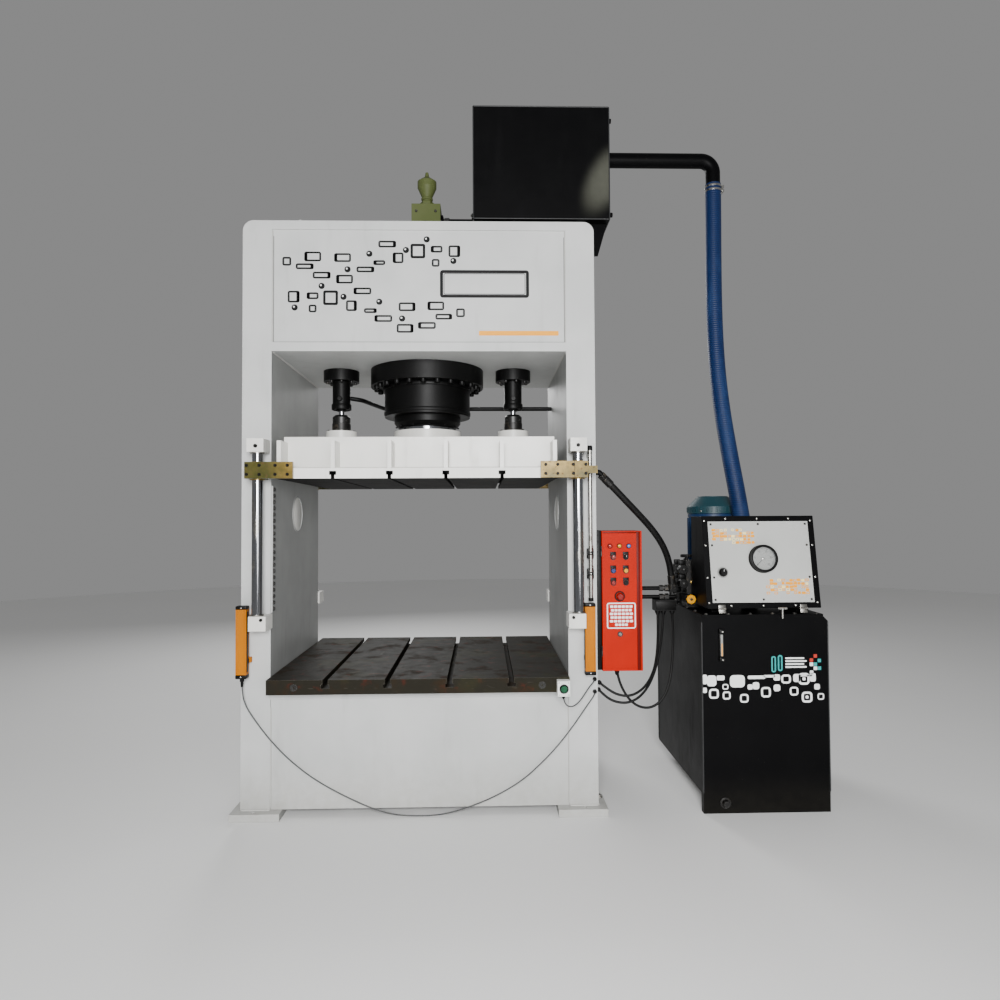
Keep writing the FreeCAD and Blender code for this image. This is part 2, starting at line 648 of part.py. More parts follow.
def make_guides():
    rods = []
    blocks = []
    for side_x in (-1, 1):
        for side_y in (-1, 1):
            rods.append(rod(f"guide_rod_{side_x + 1}{side_y + 1}", s.guide_rod_radius,
                            s.rod_length, (side_x * s.rod_spread, side_y * s.rod_reach,
                                           s.rod_bottom)))
            blocks.append(make_rod_block(side_x, side_y, 0))
            blocks.append(make_rod_block(side_x, side_y, 1))
    node("guide_rods", group("guide_rod_set", rods))
    node("guide_rod_blocks", group("guide_block_set", blocks))


def make_rod_block(side_x, side_y, level):
    """One block that clamps a guide rod's end to the upright's face."""
    inner = (s.lower_block_inner, s.upper_block_half)[level]
    outer = (s.lower_block_outer, s.upper_block_half)[level]
    left = inner if side_x > 0 else outer
    high = (s.lower_block_high, s.upper_block_high)[level]
    low = s.rod_bottom + (s.rod_length - high) * level
    tag = f"{side_x + 1}{side_y + 1}{level}"
    deep = s.rod_reach - half_depth + s.block_reach
    near = -half_depth - deep if side_y < 0 else half_depth
    block = box("rod_block_" + tag, (inner + outer, deep, high),
                (side_x * s.rod_spread - left, near, low))
    bore = rod("rod_bore_" + tag, s.guide_rod_radius, high * 2,
               (side_x * s.rod_spread, side_y * s.rod_reach, low - high / 2))
    return cut("rod_clamp_" + tag, block, [bore])


def make_guide_arm(side_x, side_y):
    """A plate bolted to the platen's edge, with the bush housing that runs on the rod."""
    tag = f"{side_x + 1}{side_y + 1}"
    long = s.arm_outer - s.arm_inner
    left = s.arm_inner if side_x > 0 else -s.arm_outer
    near = -platen_reach - s.arm_thick if side_y < 0 else platen_reach
    plate = box("arm_plate_" + tag, (long, s.arm_thick, s.arm_high),
                (left, near, s.platen_height))
    deep = platen_reach - s.rod_reach + s.bush_back
    housing = box("arm_housing_" + tag, (s.bush_half * 2, deep, s.arm_high),
                  (side_x * s.rod_spread - s.bush_half,
                   -platen_reach if side_y < 0 else platen_reach - deep, s.platen_height))
    pieces = [plate, housing]
    if side_x > 0 and side_y < 0:
        pieces.append(box("striker", (s.striker_reach, s.striker_thick, s.striker_high),
                          (s.arm_outer, near, s.platen_height + s.arm_high / 4)))
    bore = rod("arm_bore_" + tag, s.guide_rod_radius + s.guide_clearance, s.arm_high * 2,
               (side_x * s.rod_spread, side_y * s.rod_reach, s.platen_height - s.arm_high / 2))
    return cut("arm_" + tag, fuse("arm_block_" + tag, pieces), [bore])


def make_guide_arms():
    arms = [make_guide_arm(side_x, side_y) for side_x in (-1, 1) for side_y in (-1, 1)]
    node("guide_arms", group("guide_arm_set", arms))


def make_limit_rod():
    """The round rod that carries the stroke switches, on two brackets from the upright."""
    pieces = [rod("limit_bar", s.limit_rod_radius, s.limit_rod_length,
                  (s.limit_rod_x, s.limit_rod_y, s.limit_rod_bottom))]
    for i, part in enumerate((0.06, 0.94)):
        pieces.append(box(f"limit_bracket_{i}", (s.limit_rod_radius * 2, -s.limit_rod_y - half_depth,
                                                s.limit_rod_radius * 2),
                          (s.limit_rod_x - s.limit_rod_radius, s.limit_rod_y,
                           s.limit_rod_bottom + s.limit_rod_length * part)))
    node("limit_rod", fuse("limit_rod_set", pieces))


def make_light_curtains():
    bars = []
    for side in (-1, 1):
        centre = -s.curtain_left if side < 0 else s.curtain_right
        left = centre - s.curtain_width / 2
        near = -half_depth - s.curtain_standoff - s.curtain_deep
        pieces = [box(f"curtain_{side + 1}", (s.curtain_width, s.curtain_deep, s.curtain_high),
                      (left, near, s.curtain_bottom))]
        for i, part in enumerate((0.2, 0.75)):
            pieces.append(box(f"curtain_clip_{side + 1}{i}",
                              (s.curtain_width / 2, s.curtain_standoff, s.curtain_width / 2),
                              (side * s.curtain_right - s.curtain_width / 4,
                               -half_depth - s.curtain_standoff,
                               s.curtain_bottom + s.curtain_high * part)))
        bars.append(fuse(f"curtain_bar_{side + 1}", pieces))
    node("light_curtains", group("light_curtain_set", bars))


# ---- overhead tank and pipes ----

def make_overhead_tank():
    wide = s.tank_right - s.tank_left
    high = s.tank_top - s.tank_bottom
    shell = box("tank_shell", (wide, s.tank_half_deep * 2, high),
                (s.tank_left, -s.tank_half_deep, s.tank_bottom))
    room = box("tank_room", (wide - s.tank_wall * 2, (s.tank_half_deep - s.tank_wall) * 2,
                             high - s.tank_wall * 2),
               (s.tank_left + s.tank_wall, -s.tank_half_deep + s.tank_wall,
                s.tank_bottom + s.tank_wall))
    mouth = rod("tank_mouth", s.outlet_radius - s.outlet_wall, s.tank_wall * 3,
                (s.tank_right - s.tank_wall * 2, 0, s.outlet_height), "X")
    node("overhead_tank", cut("tank_body", shell, [room, mouth]))
    gap = s.tank_bottom - s.frame_height
    beams = []
    for side in (-1, 1):
        near = side * (s.tank_half_deep - s.stand_section) - s.stand_section / 2
        beams.append(box(f"stand_beam_{side + 1}", (half_width - s.corner_round - s.tank_left,
                                                    s.stand_section, gap),
                         (s.tank_left, near, s.frame_height)))
        beams.append(make_gusset(side, near))
    node("tank_stand", group("tank_stand_set", beams))


def make_gusset(side, near):
    """A tapered bracket on the upright's outer face, under the tank's overhanging end."""
    high = s.tank_bottom - s.frame_height + s.gusset_drop
    return padded(f"gusset_{side + 1}", "XZ_Plane",
                  [(0, 0), (s.gusset_tip, 0), (s.gusset_reach, high), (0, high)],
                  s.gusset_thick, (half_width, near + s.stand_section / 2,
                                   s.tank_bottom - high), symmetric=True)


def make_tank_pipe():
    start = s.tank_right
    elbow = (s.outlet_x, 0, s.outlet_height)
    pipe = tube("outlet_pipe", [(start, 0, s.outlet_height), elbow, (s.outlet_x, 0, s.outlet_end)],
                s.outlet_radius, plain(s.outlet_bend), s.outlet_radius - s.outlet_wall)
    flange = revolved("outlet_flange",
                      ring_profile(s.outlet_radius, s.outlet_flange_radius, 0,
                                   s.outlet_flange_thick), (start, 0, s.outlet_height), "X")
    node("tank_pipe", fuse("tank_pipe_set", [pipe, flange]))


def make_prefill_valve():
    """The filling valve on the crown: bolted base, square block and turned bulb with its tip."""
    base_top = s.frame_height + s.valve_base_thick
    base = rod("valve_base", s.valve_base_radius, s.valve_base_thick, (0, 0, s.frame_height))
    block = box("valve_block_box", (s.valve_block, s.valve_block, s.valve_block_top - base_top),
                (-s.valve_block / 2, -s.valve_block / 2, base_top))
    high = s.valve_top - s.valve_block_top
    neck = s.valve_neck_radius
    bulb = s.valve_bulb_radius
    cap = revolved("valve_bulb", [
        (0, 0), (bulb, 0), (bulb, high * 0.08), (neck, high * 0.14), (neck, high * 0.3),
        (bulb, high * 0.58), (bulb, high * 0.74), (neck * 0.5, high * 0.88),
        (neck * 0.3, high), (0, high)], (0, 0, s.valve_block_top))
    node("prefill_valve", fuse("prefill_valve_set", [base, block, cap]))


def make_hydraulic_pipes():
    """Rear cross pipe with its branch, the pressure hose's elbow and tee, service pipes, stub."""
    left = -s.pullback_spread + s.pullback_radius
    run = tube("cross_pipe", [
        (left, 0, s.pipe_height + 20), (left + 70, 20, s.pipe_height + 12),
        (left + 180, s.pipe_y, s.pipe_height), (opening, s.pipe_y, s.pipe_height)],
        s.pipe_radius, plain(s.pipe_bend))
    branch = rod("branch_pipe", s.pipe_radius * 0.8, s.pipe_y - s.pullback_radius,
                 (s.pullback_spread, s.pullback_radius, s.pipe_height), "Y")
    elbow = tube("elbow_bend", [(half_width, -480, 1872), (1005, -480, 1872), HOSE_POINTS[0]],
                 s.pressure_hose_radius * 0.8, 12)
    x = s.manifold_x - s.manifold_width / 2 - s.valve_width
    tee_left = x - s.tee_block
    tee = box("hose_tee", (s.tee_block, s.tee_block + 10, s.tee_block),
              (tee_left, s.manifold_y - s.tee_block / 2 - 10, HOSE_POINTS[-1][2] - s.tee_block))
    pieces = [fuse("cross_pipe_run", [run, branch]), elbow, tee]
    for i, (end, height) in enumerate(((tee_left, s.upper_pipe_height),
                                       (x, s.lower_pipe_height))):
        pieces.append(rod(f"service_pipe_{i}", s.service_pipe_radius, end - half_width,
                          (half_width, s.manifold_y, height), "X"))
    stub_height = SUCTION_POINTS[-1][2] - lid_top
    pieces.append(rod("suction_stub", s.suction_hose_radius, stub_height,
                      (SUCTION_POINTS[-1][0], SUCTION_POINTS[-1][1], lid_top)))
    node("hydraulic_pipes", group("hydraulic_pipe_set", pieces))


# ---- control cabinet ----

cabinet_left = half_width + s.cabinet_gap
door_front = s.cabinet_front


def make_cabinet():
    shell_front = door_front + s.door_thick + 1
    wall = s.cabinet_wall
    shell = box("cabinet_shell", (s.cabinet_width, s.cabinet_deep, s.cabinet_high),
                (cabinet_left, shell_front, s.cabinet_bottom))
    room = box("cabinet_room", (s.cabinet_width - wall * 2, s.cabinet_deep,
                                s.cabinet_high - wall * 2),
               (cabinet_left + wall, shell_front - wall, s.cabinet_bottom + wall))
    brackets = []
    for i, part in enumerate((0.1, 0.8)):
        brackets.append(box(f"cabinet_bracket_{i}", (s.cabinet_gap, s.cabinet_deep / 2, 60),
                            (half_width, shell_front + 20,
                             s.cabinet_bottom + s.cabinet_high * part)))
    node("cabinet_box", fuse("cabinet_set", [cut("cabinet_hollow", shell, [room])] + brackets))


def button_places():
    """Name, x offset and height of the six controls below the lamps."""
    rows = (("top", s.row_top), ("middle", s.row_middle), ("bottom", s.row_bottom))
    for row, height in rows:
        for column, side in (("left", -1), ("right", 1)):
            kind = "selector" if row == "top" else "button"
            yield f"{row}_{column}_{kind}", s.column_centre + side * s.column_spacing / 2, height


def make_door():
    """The cabinet's front door with a raised, bored bezel for each control."""
    gap = 1
    plate = box("door_plate", (s.cabinet_width - gap * 2, s.door_thick, s.cabinet_high),
                (cabinet_left + gap, door_front, s.cabinet_bottom))
    solids = [plate]
    bores = []
    front = door_front - s.bezel_high
    bore = s.button_radius + s.button_clearance
    for name, x, height in button_places():
        solids.append(rod("bezel_" + name, s.bezel_radius, s.bezel_high, (x, front, height), "Y"))
        bores.append(rod("bore_" + name, bore, s.door_thick * 4, (x, front - 1, height), "Y"))
    for name, radius, height in (("stop", s.button_radius, s.stop_height),
                                 ("key", s.key_radius, s.key_height)):
        bores.append(rod("bore_" + name, radius + s.button_clearance, s.door_thick * 4,
                         (s.column_centre, front - 1, height), "Y"))
    node("cabinet_door", cut("door_bored", fuse("door_front", solids), bores))


def make_controls():
    inside = s.stem_inside + s.door_thick
    for name, x, height in button_places():
        cap = rod("cap_" + name, s.button_radius, s.button_proud + inside,
                  (x, door_front - s.button_proud, height), "Y")
        if name.endswith("selector"):
            grip = box("grip_" + name, (s.button_radius * 2, s.button_proud, s.button_radius * 0.7),
                       (x - s.button_radius, door_front - s.button_proud * 2,
                        height - s.button_radius * 0.35))
            body = rod("round_" + name, s.button_radius, s.button_proud,
                       (x, door_front - s.button_proud * 2, height), "Y")
            trimmed = doc.addObject("Part::Common", "knob_" + name)
            trimmed.Base = grip
            trimmed.Tool = body
            cap = fuse("turned_" + name, [cap, trimmed])
        node(name, cap)
    x = s.column_centre
    head = s.stop_radius
    node("emergency_stop", revolved("stop_head", [
        (0, 0), (s.button_radius, 0), (s.button_radius, inside + s.bezel_high * 2),
        (head, inside + s.bezel_high * 2.5), (head, inside + s.bezel_high * 3.5),
        (head * 0.7, inside + s.bezel_high * 4.5), (0, inside + s.bezel_high * 4.5)],
        (x, door_front + inside, s.stop_height), "-Y"))
    barrel = rod("key_barrel", s.key_radius, inside + 4, (x, door_front - 4, s.key_height), "Y")
    bow = box("key_bow", (2, 22, 16), (x - 1, door_front - 26, s.key_height - 8))
    node("door_key", fuse("door_key_set", [barrel, bow]))


# ---- power pack ----

pack_right = s.pack_left + s.pack_width
pack_back = s.pack_front + s.pack_deep
lid_top = s.pack_top + s.lid_thick


def make_reservoir():
    """Welded oil tank with chamfered top corners, a front skirt and two rear foot blocks."""
    high = s.pack_top - s.pack_bottom
    cham = s.pack_chamfer
    wide = s.pack_width
    wall = s.pack_wall
    body = padded("reservoir_shell", "XZ_Plane",
                  [(0, 0), (wide, 0), (wide, high - cham), (wide - cham, high), (0, high)],
                  s.pack_deep, (s.pack_left, s.pack_front + s.pack_deep / 2, s.pack_bottom),
                  symmetric=True)
    room = box("reservoir_room", (wide - wall * 2 - cham, s.pack_deep - wall * 2, high),
               (s.pack_left + wall, s.pack_front + wall, s.pack_bottom + wall))
    pieces = [cut("reservoir_hollow", body, [room]),
              box("reservoir_skirt", (wide, s.foot_block / 2, s.pack_bottom),
                  (s.pack_left, s.pack_front, 0))]
    for i, left in enumerate((s.pack_left + s.foot_block_inset,
                              pack_right - s.foot_block_inset - s.foot_block)):
        pieces.append(box(f"reservoir_foot_{i}", (s.foot_block, s.foot_block, s.pack_bottom),
                          (left, pack_back - s.foot_block, 0)))
    node("reservoir", fuse("reservoir_weldment", pieces))
    lid = box("lid_plate", (wide - cham, s.pack_deep, s.lid_thick),
              (s.pack_left, s.pack_front, s.pack_top))
    hole = rod("lid_hole", s.pump_radius * 0.6, s.lid_thick * 3,
               (s.motor_x, s.motor_y, s.pack_top - s.lid_thick))
    node("reservoir_lid", cut("lid_bored", lid, [hole]))


def make_motor():
    x, y = s.motor_x, s.motor_y
    high = s.motor_top - s.motor_bottom
    bore = s.shaft_radius + s.shaft_clearance
    shield = s.motor_shield
    node("motor_body", revolved("motor_case", [
        (bore, 0), (s.motor_radius, 0), (s.motor_radius, high), (bore, high),
        (bore, high - shield), (s.motor_bore, high - shield), (s.motor_bore, shield),
        (bore, shield)], (x, y, s.motor_bottom)))
    tall = s.cowl_top - s.motor_top
    cham = s.cowl_chamfer
    wall = s.cowl_wall
    node("fan_cowl", revolved("cowl", [
        (s.cowl_radius - wall, 0), (s.cowl_radius, 0), (s.cowl_radius, tall - cham),
        (s.cowl_radius - cham, tall), (0, tall), (0, tall - wall),
        (s.cowl_radius - cham - wall, tall - wall), (s.cowl_radius - wall, tall - cham - wall)],
        (x, y, s.motor_top)))
    low = s.motor_bottom - lid_top
    rim = s.bell_flange
    node("bell_housing", revolved("bell", [
        (s.bell_bore, 0), (s.bell_radius, 0), (s.bell_radius, rim), (s.bell_bore + rim, rim),
        (s.bell_bore + rim, low - rim), (s.bell_radius, low - rim), (s.bell_radius, low),
        (s.bell_bore, low)], (x, y, lid_top)))
    node("pump", revolved("pump_case", [
        (bore, s.pump_high - s.bell_flange), (bore, s.pump_high), (s.pump_radius, s.pump_high),
        (s.pump_radius, 0), (0, 0), (0, s.pump_high - s.bell_flange * 4),
        (bore * 1.2, s.pump_high - s.bell_flange * 4), (bore * 1.2, s.pump_high - s.bell_flange)],
        (x, y, s.pack_top - s.pump_high)))
    make_rotor(x, y)


def make_rotor(x, y):
    """Shaft, rotor core and cooling fan, which turn together in the motor."""
    low = s.pack_top - s.bell_flange * 3
    core_low = s.motor_bottom + s.motor_shield * 2 - low
    core_high = s.motor_top - s.motor_shield * 2 - low
    fan_low = s.motor_top + s.fan_thick - low
    shaft = s.shaft_radius
    node("motor_rotor", revolved("rotor", [
        (0, 0), (shaft, 0), (shaft, core_low), (s.rotor_radius, core_low),
        (s.rotor_radius, core_high), (shaft, core_high), (shaft, fan_low),
        (s.fan_radius, fan_low), (s.fan_radius, fan_low + s.fan_thick),
        (shaft, fan_low + s.fan_thick), (shaft, fan_low + s.fan_thick * 2),
        (0, fan_low + s.fan_thick * 2)], (x, y, low)))


def tilted(name, items):
    """Leans parts that were built upright at the console's lower front edge."""
    item = group(name, items)
    item.Placement.Rotation = FreeCAD.Rotation(AXES["-X"], plain(s.console_tilt))
    bind(item, "Placement.Rotation.Angle", s.console_tilt)
    bind(item, "Placement.Base.y", s.console_front)
    bind(item, "Placement.Base.z", s.console_bottom)
    return item


def make_console():
    """Case with a leaning face, on two feet; panel, gauge, needle and knob lie in its plane."""
    sine = Size(math.sin(math.radians(plain(s.console_tilt))), "sin(sizes.console_tilt * 1 deg)")
    cosine = Size(math.cos(math.radians(plain(s.console_tilt))), "cos(sizes.console_tilt * 1 deg)")
    face = s.console_face
    lean = face * sine
    tall = face * cosine
    deep = s.console_deep
    wide = s.console_width
    left = s.console_left
    middle = left + wide / 2
    shell = padded("console_shell", "YZ_Plane", [(0, 0), (deep, 0), (deep, tall), (lean, tall)],
                   wide, (middle, s.console_front, s.console_bottom), symmetric=True)
    wall = s.console_wall
    room = box("console_room", (wide - wall * 2, deep - lean - wall * 2, tall - wall * 2),
               (left + wall, s.console_front + lean + wall, s.console_bottom + wall))
    feet = []
    for i, part in enumerate((0.08, 0.84)):
        feet.append(box(f"console_foot_{i}", (50, deep * 0.6, s.console_bottom - lid_top),
                        (left + wide * part, s.console_front + deep * 0.3, lid_top)))
    node("console_case", fuse("console_set", [cut("console_hollow", shell, [room])] + feet))
    panel_low = (face - s.console_panel_high) / 2
    panel_left = middle - s.console_panel_width / 2
    thick = s.console_panel_thick
    panel = box("panel_sheet", (s.console_panel_width, thick, s.console_panel_high),
                (panel_left, -thick, panel_low))
    node("console_panel", tilted("console_panel_set", [panel]))
    make_gauge(thick)
    knob = revolved("knob_turned", [
        (0, 0), (s.knob_radius, 0), (s.knob_radius, s.knob_deep * 0.5),
        (s.knob_radius * 0.7, s.knob_deep), (0, s.knob_deep)],
        (s.knob_x, -thick - 0.5, s.knob_up), "-Y")
    node("console_knob", tilted("console_knob_set", [knob]))


def make_gauge(thick):
    rim = s.gauge_rim
    case = revolved("gauge_case", [
        (0, 0), (s.gauge_radius, 0), (s.gauge_radius, s.gauge_deep),
        (s.gauge_radius - rim, s.gauge_deep), (s.gauge_radius - rim, rim), (0, rim)],
        (s.gauge_x, -thick, s.gauge_up), "-Y")
    node("pressure_gauge", tilted("pressure_gauge_set", [case]))
    hub = rod("needle_hub", rim * 0.75, 6, (0, 0, 0), "-Y")
    hand = box("needle_hand", (3, 2, s.needle_length), (-1.5, -5, 0))
    turned = group("needle_turned", [fuse("needle_set", [hub, hand])])
    for letter, value in zip("xyz", (s.gauge_x, -thick - rim - 0.5, s.gauge_up)):
        bind(turned, f"Placement.Base.{letter}", value)
    turned.Placement.Rotation = FreeCAD.Rotation(AXES["-Y"], 135)
    node("gauge_needle", tilted("gauge_needle_set", [turned]))


def make_pack_fittings():
    half = s.manifold_width / 2
    x, y = s.manifold_x, s.manifold_y
    node("manifold", box("manifold_block", (s.manifold_width, s.manifold_width,
                                            s.manifold_top - lid_top), (x - half, y - half, lid_top)))
    valves = []
    for i in range(3):
        level = s.valve_low + s.valve_step * i
        low = lid_top + (s.manifold_top - lid_top) * level - s.valve_high / 2
        block = box(f"valve_{i}", (s.valve_width, s.valve_deep, s.valve_high),
                    (x - half - s.valve_width, y - s.valve_deep / 2, low))
        near = y - s.valve_deep / 2
        middle = (x - half - s.valve_width / 2, near, low + s.valve_high / 2)
        if i == 0:
            front = box("throttle_body", (s.throttle_width, s.throttle_deep, s.valve_high * 0.8),
                        (x - half - s.throttle_width, near - s.throttle_deep,
                         low + s.valve_high * 0.1))
        else:
            front = rod(f"coil_{i}_0", s.coil_radius, s.coil_length, middle, "-Y")
        rear = rod(f"coil_{i}_1", s.coil_radius, s.coil_length,
                   (middle[0], near + s.valve_deep, middle[2]), "Y")
        valves.append(fuse(f"valve_set_{i}", [block, front, rear]))
    node("solenoid_valves", group("solenoid_valve_set", valves))
    make_hand_parts(x, y, half)


def make_hand_parts(x, y, half):
    """The relief valve's hand wheel, the yellow adjusting wheel and the lid's T-handle."""
    grip = s.handwheel_radius
    node("relief_handwheel", revolved("handwheel", [
        (0, 0), (grip * 0.3, 0), (grip * 0.3, grip * 0.5), (grip, grip * 0.5), (grip, grip),
        (0, grip)], (x - half * 0.7, y, s.manifold_top + 0.5)))
    node("adjusting_wheel", revolved("yellow_wheel", [
        (0, 0), (s.wheel_radius * 0.4, 0), (s.wheel_radius * 0.4, s.wheel_thick * 0.4),
        (s.wheel_radius, s.wheel_thick * 0.4), (s.wheel_radius, s.wheel_thick),
        (0, s.wheel_thick)],
        (x - half - s.wheel_inset, y - s.valve_deep / 2 - s.throttle_deep - 0.5,
         lid_top + (s.manifold_top - lid_top) * s.valve_low), "-Y"))
    stem_y = s.pack_front - 16
    stem = rod("tee_stem", 6, s.tee_stem, (s.tee_x, stem_y, s.pack_top - 8))
    bar = rod("tee_bar_rod", 6, s.tee_bar * 2,
              (s.tee_x - s.tee_bar, stem_y, s.pack_top - 8 + s.tee_stem), "X")
    node("tee_handle", fuse("tee_handle_set", [stem, bar]))


def make_cords():
    """Each cord is a node of its own, from the fitting at one end to the one at the other."""
    cords = (("suction_hose", SUCTION_POINTS, s.suction_hose_radius),
             ("pressure_hose", HOSE_POINTS, s.pressure_hose_radius),
             ("loop_cable_a", LOOP_A_POINTS, s.loop_radius),
             ("loop_cable_b", LOOP_B_POINTS, s.loop_radius),
             ("cabinet_cable", CABINET_POINTS, s.loop_radius),
             ("curtain_cable", CURTAIN_POINTS, s.curtain_cable),
             ("button_cable", BUTTON_POINTS, s.curtain_cable))
    for name, points, radius in cords:
        node(name, tube(name, points, radius))


def make_cable_terminals():
    """A gland where each cable leaves or enters, and the junction box under the pipes."""
    small = s.gland_radius_small
    large = s.gland_radius_large
    glands = []
    for i, point in enumerate((LOOP_A_POINTS[0], LOOP_B_POINTS[0])):
        glands.append(rod(f"side_gland_{i}", large, s.gland_length,
                          (half_width, point[1], point[2]), "X"))
    for i, point in enumerate((CURTAIN_POINTS[-1], BUTTON_POINTS[-1])):
        glands.append(rod(f"front_gland_{i}", small, s.gland_length,
                          (point[0], -half_depth, point[2]), "-Y"))
    x, y, z = CABINET_POINTS[0]
    glands.append(rod("cabinet_gland", large, s.gland_length, (x, y, s.cabinet_bottom), "-Z"))
    x, y, z = CURTAIN_POINTS[0]
    glands.append(rod("curtain_gland", small, s.curtain_gland_length, (x, y, s.curtain_bottom),
                      "-Z"))
    x, y, z = BUTTON_POINTS[0]
    glands.append(rod("button_gland", small, s.button_gland_length,
                      (x, y, bolster_top - s.button_box_high - s.button_box_drop), "-Z"))
    x, y, z = LOOP_A_POINTS[-1]
    glands.append(box("junction_box", (CABINET_POINTS[-1][0] - x + s.gland_length * 2,
                                       s.gland_length * 4,
                                       s.lower_pipe_height - s.service_pipe_radius - z),
                      (x - s.gland_length, y - s.gland_length * 1.5, z)))
    node("cable_terminals", group("cable_terminal_set", glands))


def build_press():
    make_upright("left_upright", -1)
    make_upright("right_upright", 1)
    make_crown()
    make_bed()
    make_foot_plates()
    make_bolster()
    make_button_box()
    make_platen_plate()
    make_platen_box()
    make_main_cylinder()
    node("pullback_cylinders", group("pullback_set", [make_pullback_cylinder(side)
                                                     for side in (-1, 1)]))
    node("pullback_rods", group("pullback_rod_set", [make_pullback_rod(side)
                                                    for side in (-1, 1)]))
    make_guides()
    make_guide_arms()
    make_limit_rod()
    make_light_curtains()
    make_overhead_tank()
    make_tank_pipe()
    make_prefill_valve()
    make_hydraulic_pipes()
    make_cabinet()
    make_door()
    make_controls()
    make_reservoir()
    make_motor()
    make_console()
    make_pack_fittings()
    make_cable_terminals()
    make_cords()


def check_and_write():
    """Stops on any failed object or bad shape, then writes one file for each sub-part."""
    doc.recompute()
    for item in doc.Objects:
        if "Invalid" in item.State or "Error" in item.State:
            raise ValueError(f"{item.Label}: {item.State}")
    for item in nodes:
        if item.Shape.isNull() or not item.Shape.isValid() or not item.Shape.Solids:
            raise ValueError(f"{item.Label}: no valid shape")
    os.makedirs("parts", exist_ok=True)
    for item in nodes:
        item.Shape.exportStep(f"parts/{item.Label}.step")
    print(f"{len(nodes)} sub-parts written")


build_press()
check_and_write()
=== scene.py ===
import math
import random

import bmesh
import bpy
from mathutils import Matrix, Vector


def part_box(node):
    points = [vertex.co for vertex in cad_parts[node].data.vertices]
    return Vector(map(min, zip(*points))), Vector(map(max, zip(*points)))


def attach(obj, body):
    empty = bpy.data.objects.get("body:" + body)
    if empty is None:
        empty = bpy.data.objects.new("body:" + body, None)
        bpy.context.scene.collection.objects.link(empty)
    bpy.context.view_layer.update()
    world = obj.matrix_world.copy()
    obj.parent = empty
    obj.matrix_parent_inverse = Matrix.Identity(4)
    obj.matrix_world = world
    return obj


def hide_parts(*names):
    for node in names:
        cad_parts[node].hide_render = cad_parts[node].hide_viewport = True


# Looks for a hydraulic press: finishes for the CAD parts, and the small parts that the CAD
# leaves out, such as bolts, weld beads, lamps, dial, printed squares and hose clamps.
# Metres; +X is the operator's right, -Y the operator's side, +Z up.

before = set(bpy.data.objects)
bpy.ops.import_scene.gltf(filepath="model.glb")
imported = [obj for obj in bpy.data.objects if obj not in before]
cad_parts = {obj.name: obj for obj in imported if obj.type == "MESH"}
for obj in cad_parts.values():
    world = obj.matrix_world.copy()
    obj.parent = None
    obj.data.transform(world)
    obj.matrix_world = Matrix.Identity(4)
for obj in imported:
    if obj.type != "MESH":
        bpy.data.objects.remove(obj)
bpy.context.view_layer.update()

UP = (0, 0, 1)
DOWN = (0, 0, -1)
FRONT = (0, -1, 0)
REAR = (0, 1, 0)
LEFT = (-1, 0, 0)
RIGHT = (1, 0, 0)
# The tank's front face, which carries the tank paint's painted highlight patch.
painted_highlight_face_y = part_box("overhead_tank")[0][1]


def box_of(node):
    """Lowest and highest corner of a CAD part."""
    low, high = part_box(node)
    return Vector(low), Vector(high)


# ---- camera ----

def make_camera():
    data = bpy.data.cameras.new("camera")
    data.sensor_width = 36.0
    data.lens = 24.68
    data.clip_start, data.clip_end = (0.05, 100.0)
    camera = bpy.data.objects.new("camera", data)
    bpy.context.collection.objects.link(camera)
    right = Vector((0.99967, -0.02525, -0.0053)).normalized()
    ahead = Vector((0.02539, 0.99932, 0.0267)).normalized()
    up = right.cross(ahead).normalized()
    right = ahead.cross(up).normalized()
    turn = Matrix((right, up, -ahead)).transposed().to_4x4()
    camera.matrix_world = Matrix.Translation((0.3453, -4.3307, 1.6155)) @ turn
    bpy.context.scene.camera = camera


make_camera()


# ---- finishes ----

def tint(code):
    """A colour code such as c0c0be, as linear red, green, blue and one."""
    parts = [int(code[i:i + 2], 16) / 255 for i in (0, 2, 4)]
    return tuple(c / 12.92 if c <= 0.04045 else ((c + 0.055) / 1.055) ** 2.4
                 for c in parts) + (1.0,)


class Wire:
    """An output socket of a finish. Python's operators on it add Math nodes."""

    def __init__(self, finish, socket):
        self.finish = finish
        self.socket = socket

    def maths(self, operation, first, second):
        return self.finish.add("ShaderNodeMath", {"operation": operation}, {0: first, 1: second})

    def __add__(self, other):
        return self.maths("ADD", self, other)

    def __radd__(self, other):
        return self.maths("ADD", other, self)

    def __sub__(self, other):
        return self.maths("SUBTRACT", self, other)

    def __rsub__(self, other):
        return self.maths("SUBTRACT", other, self)

    def __mul__(self, other):
        return self.maths("MULTIPLY", self, other)

    def __rmul__(self, other):
        return self.maths("MULTIPLY", other, self)


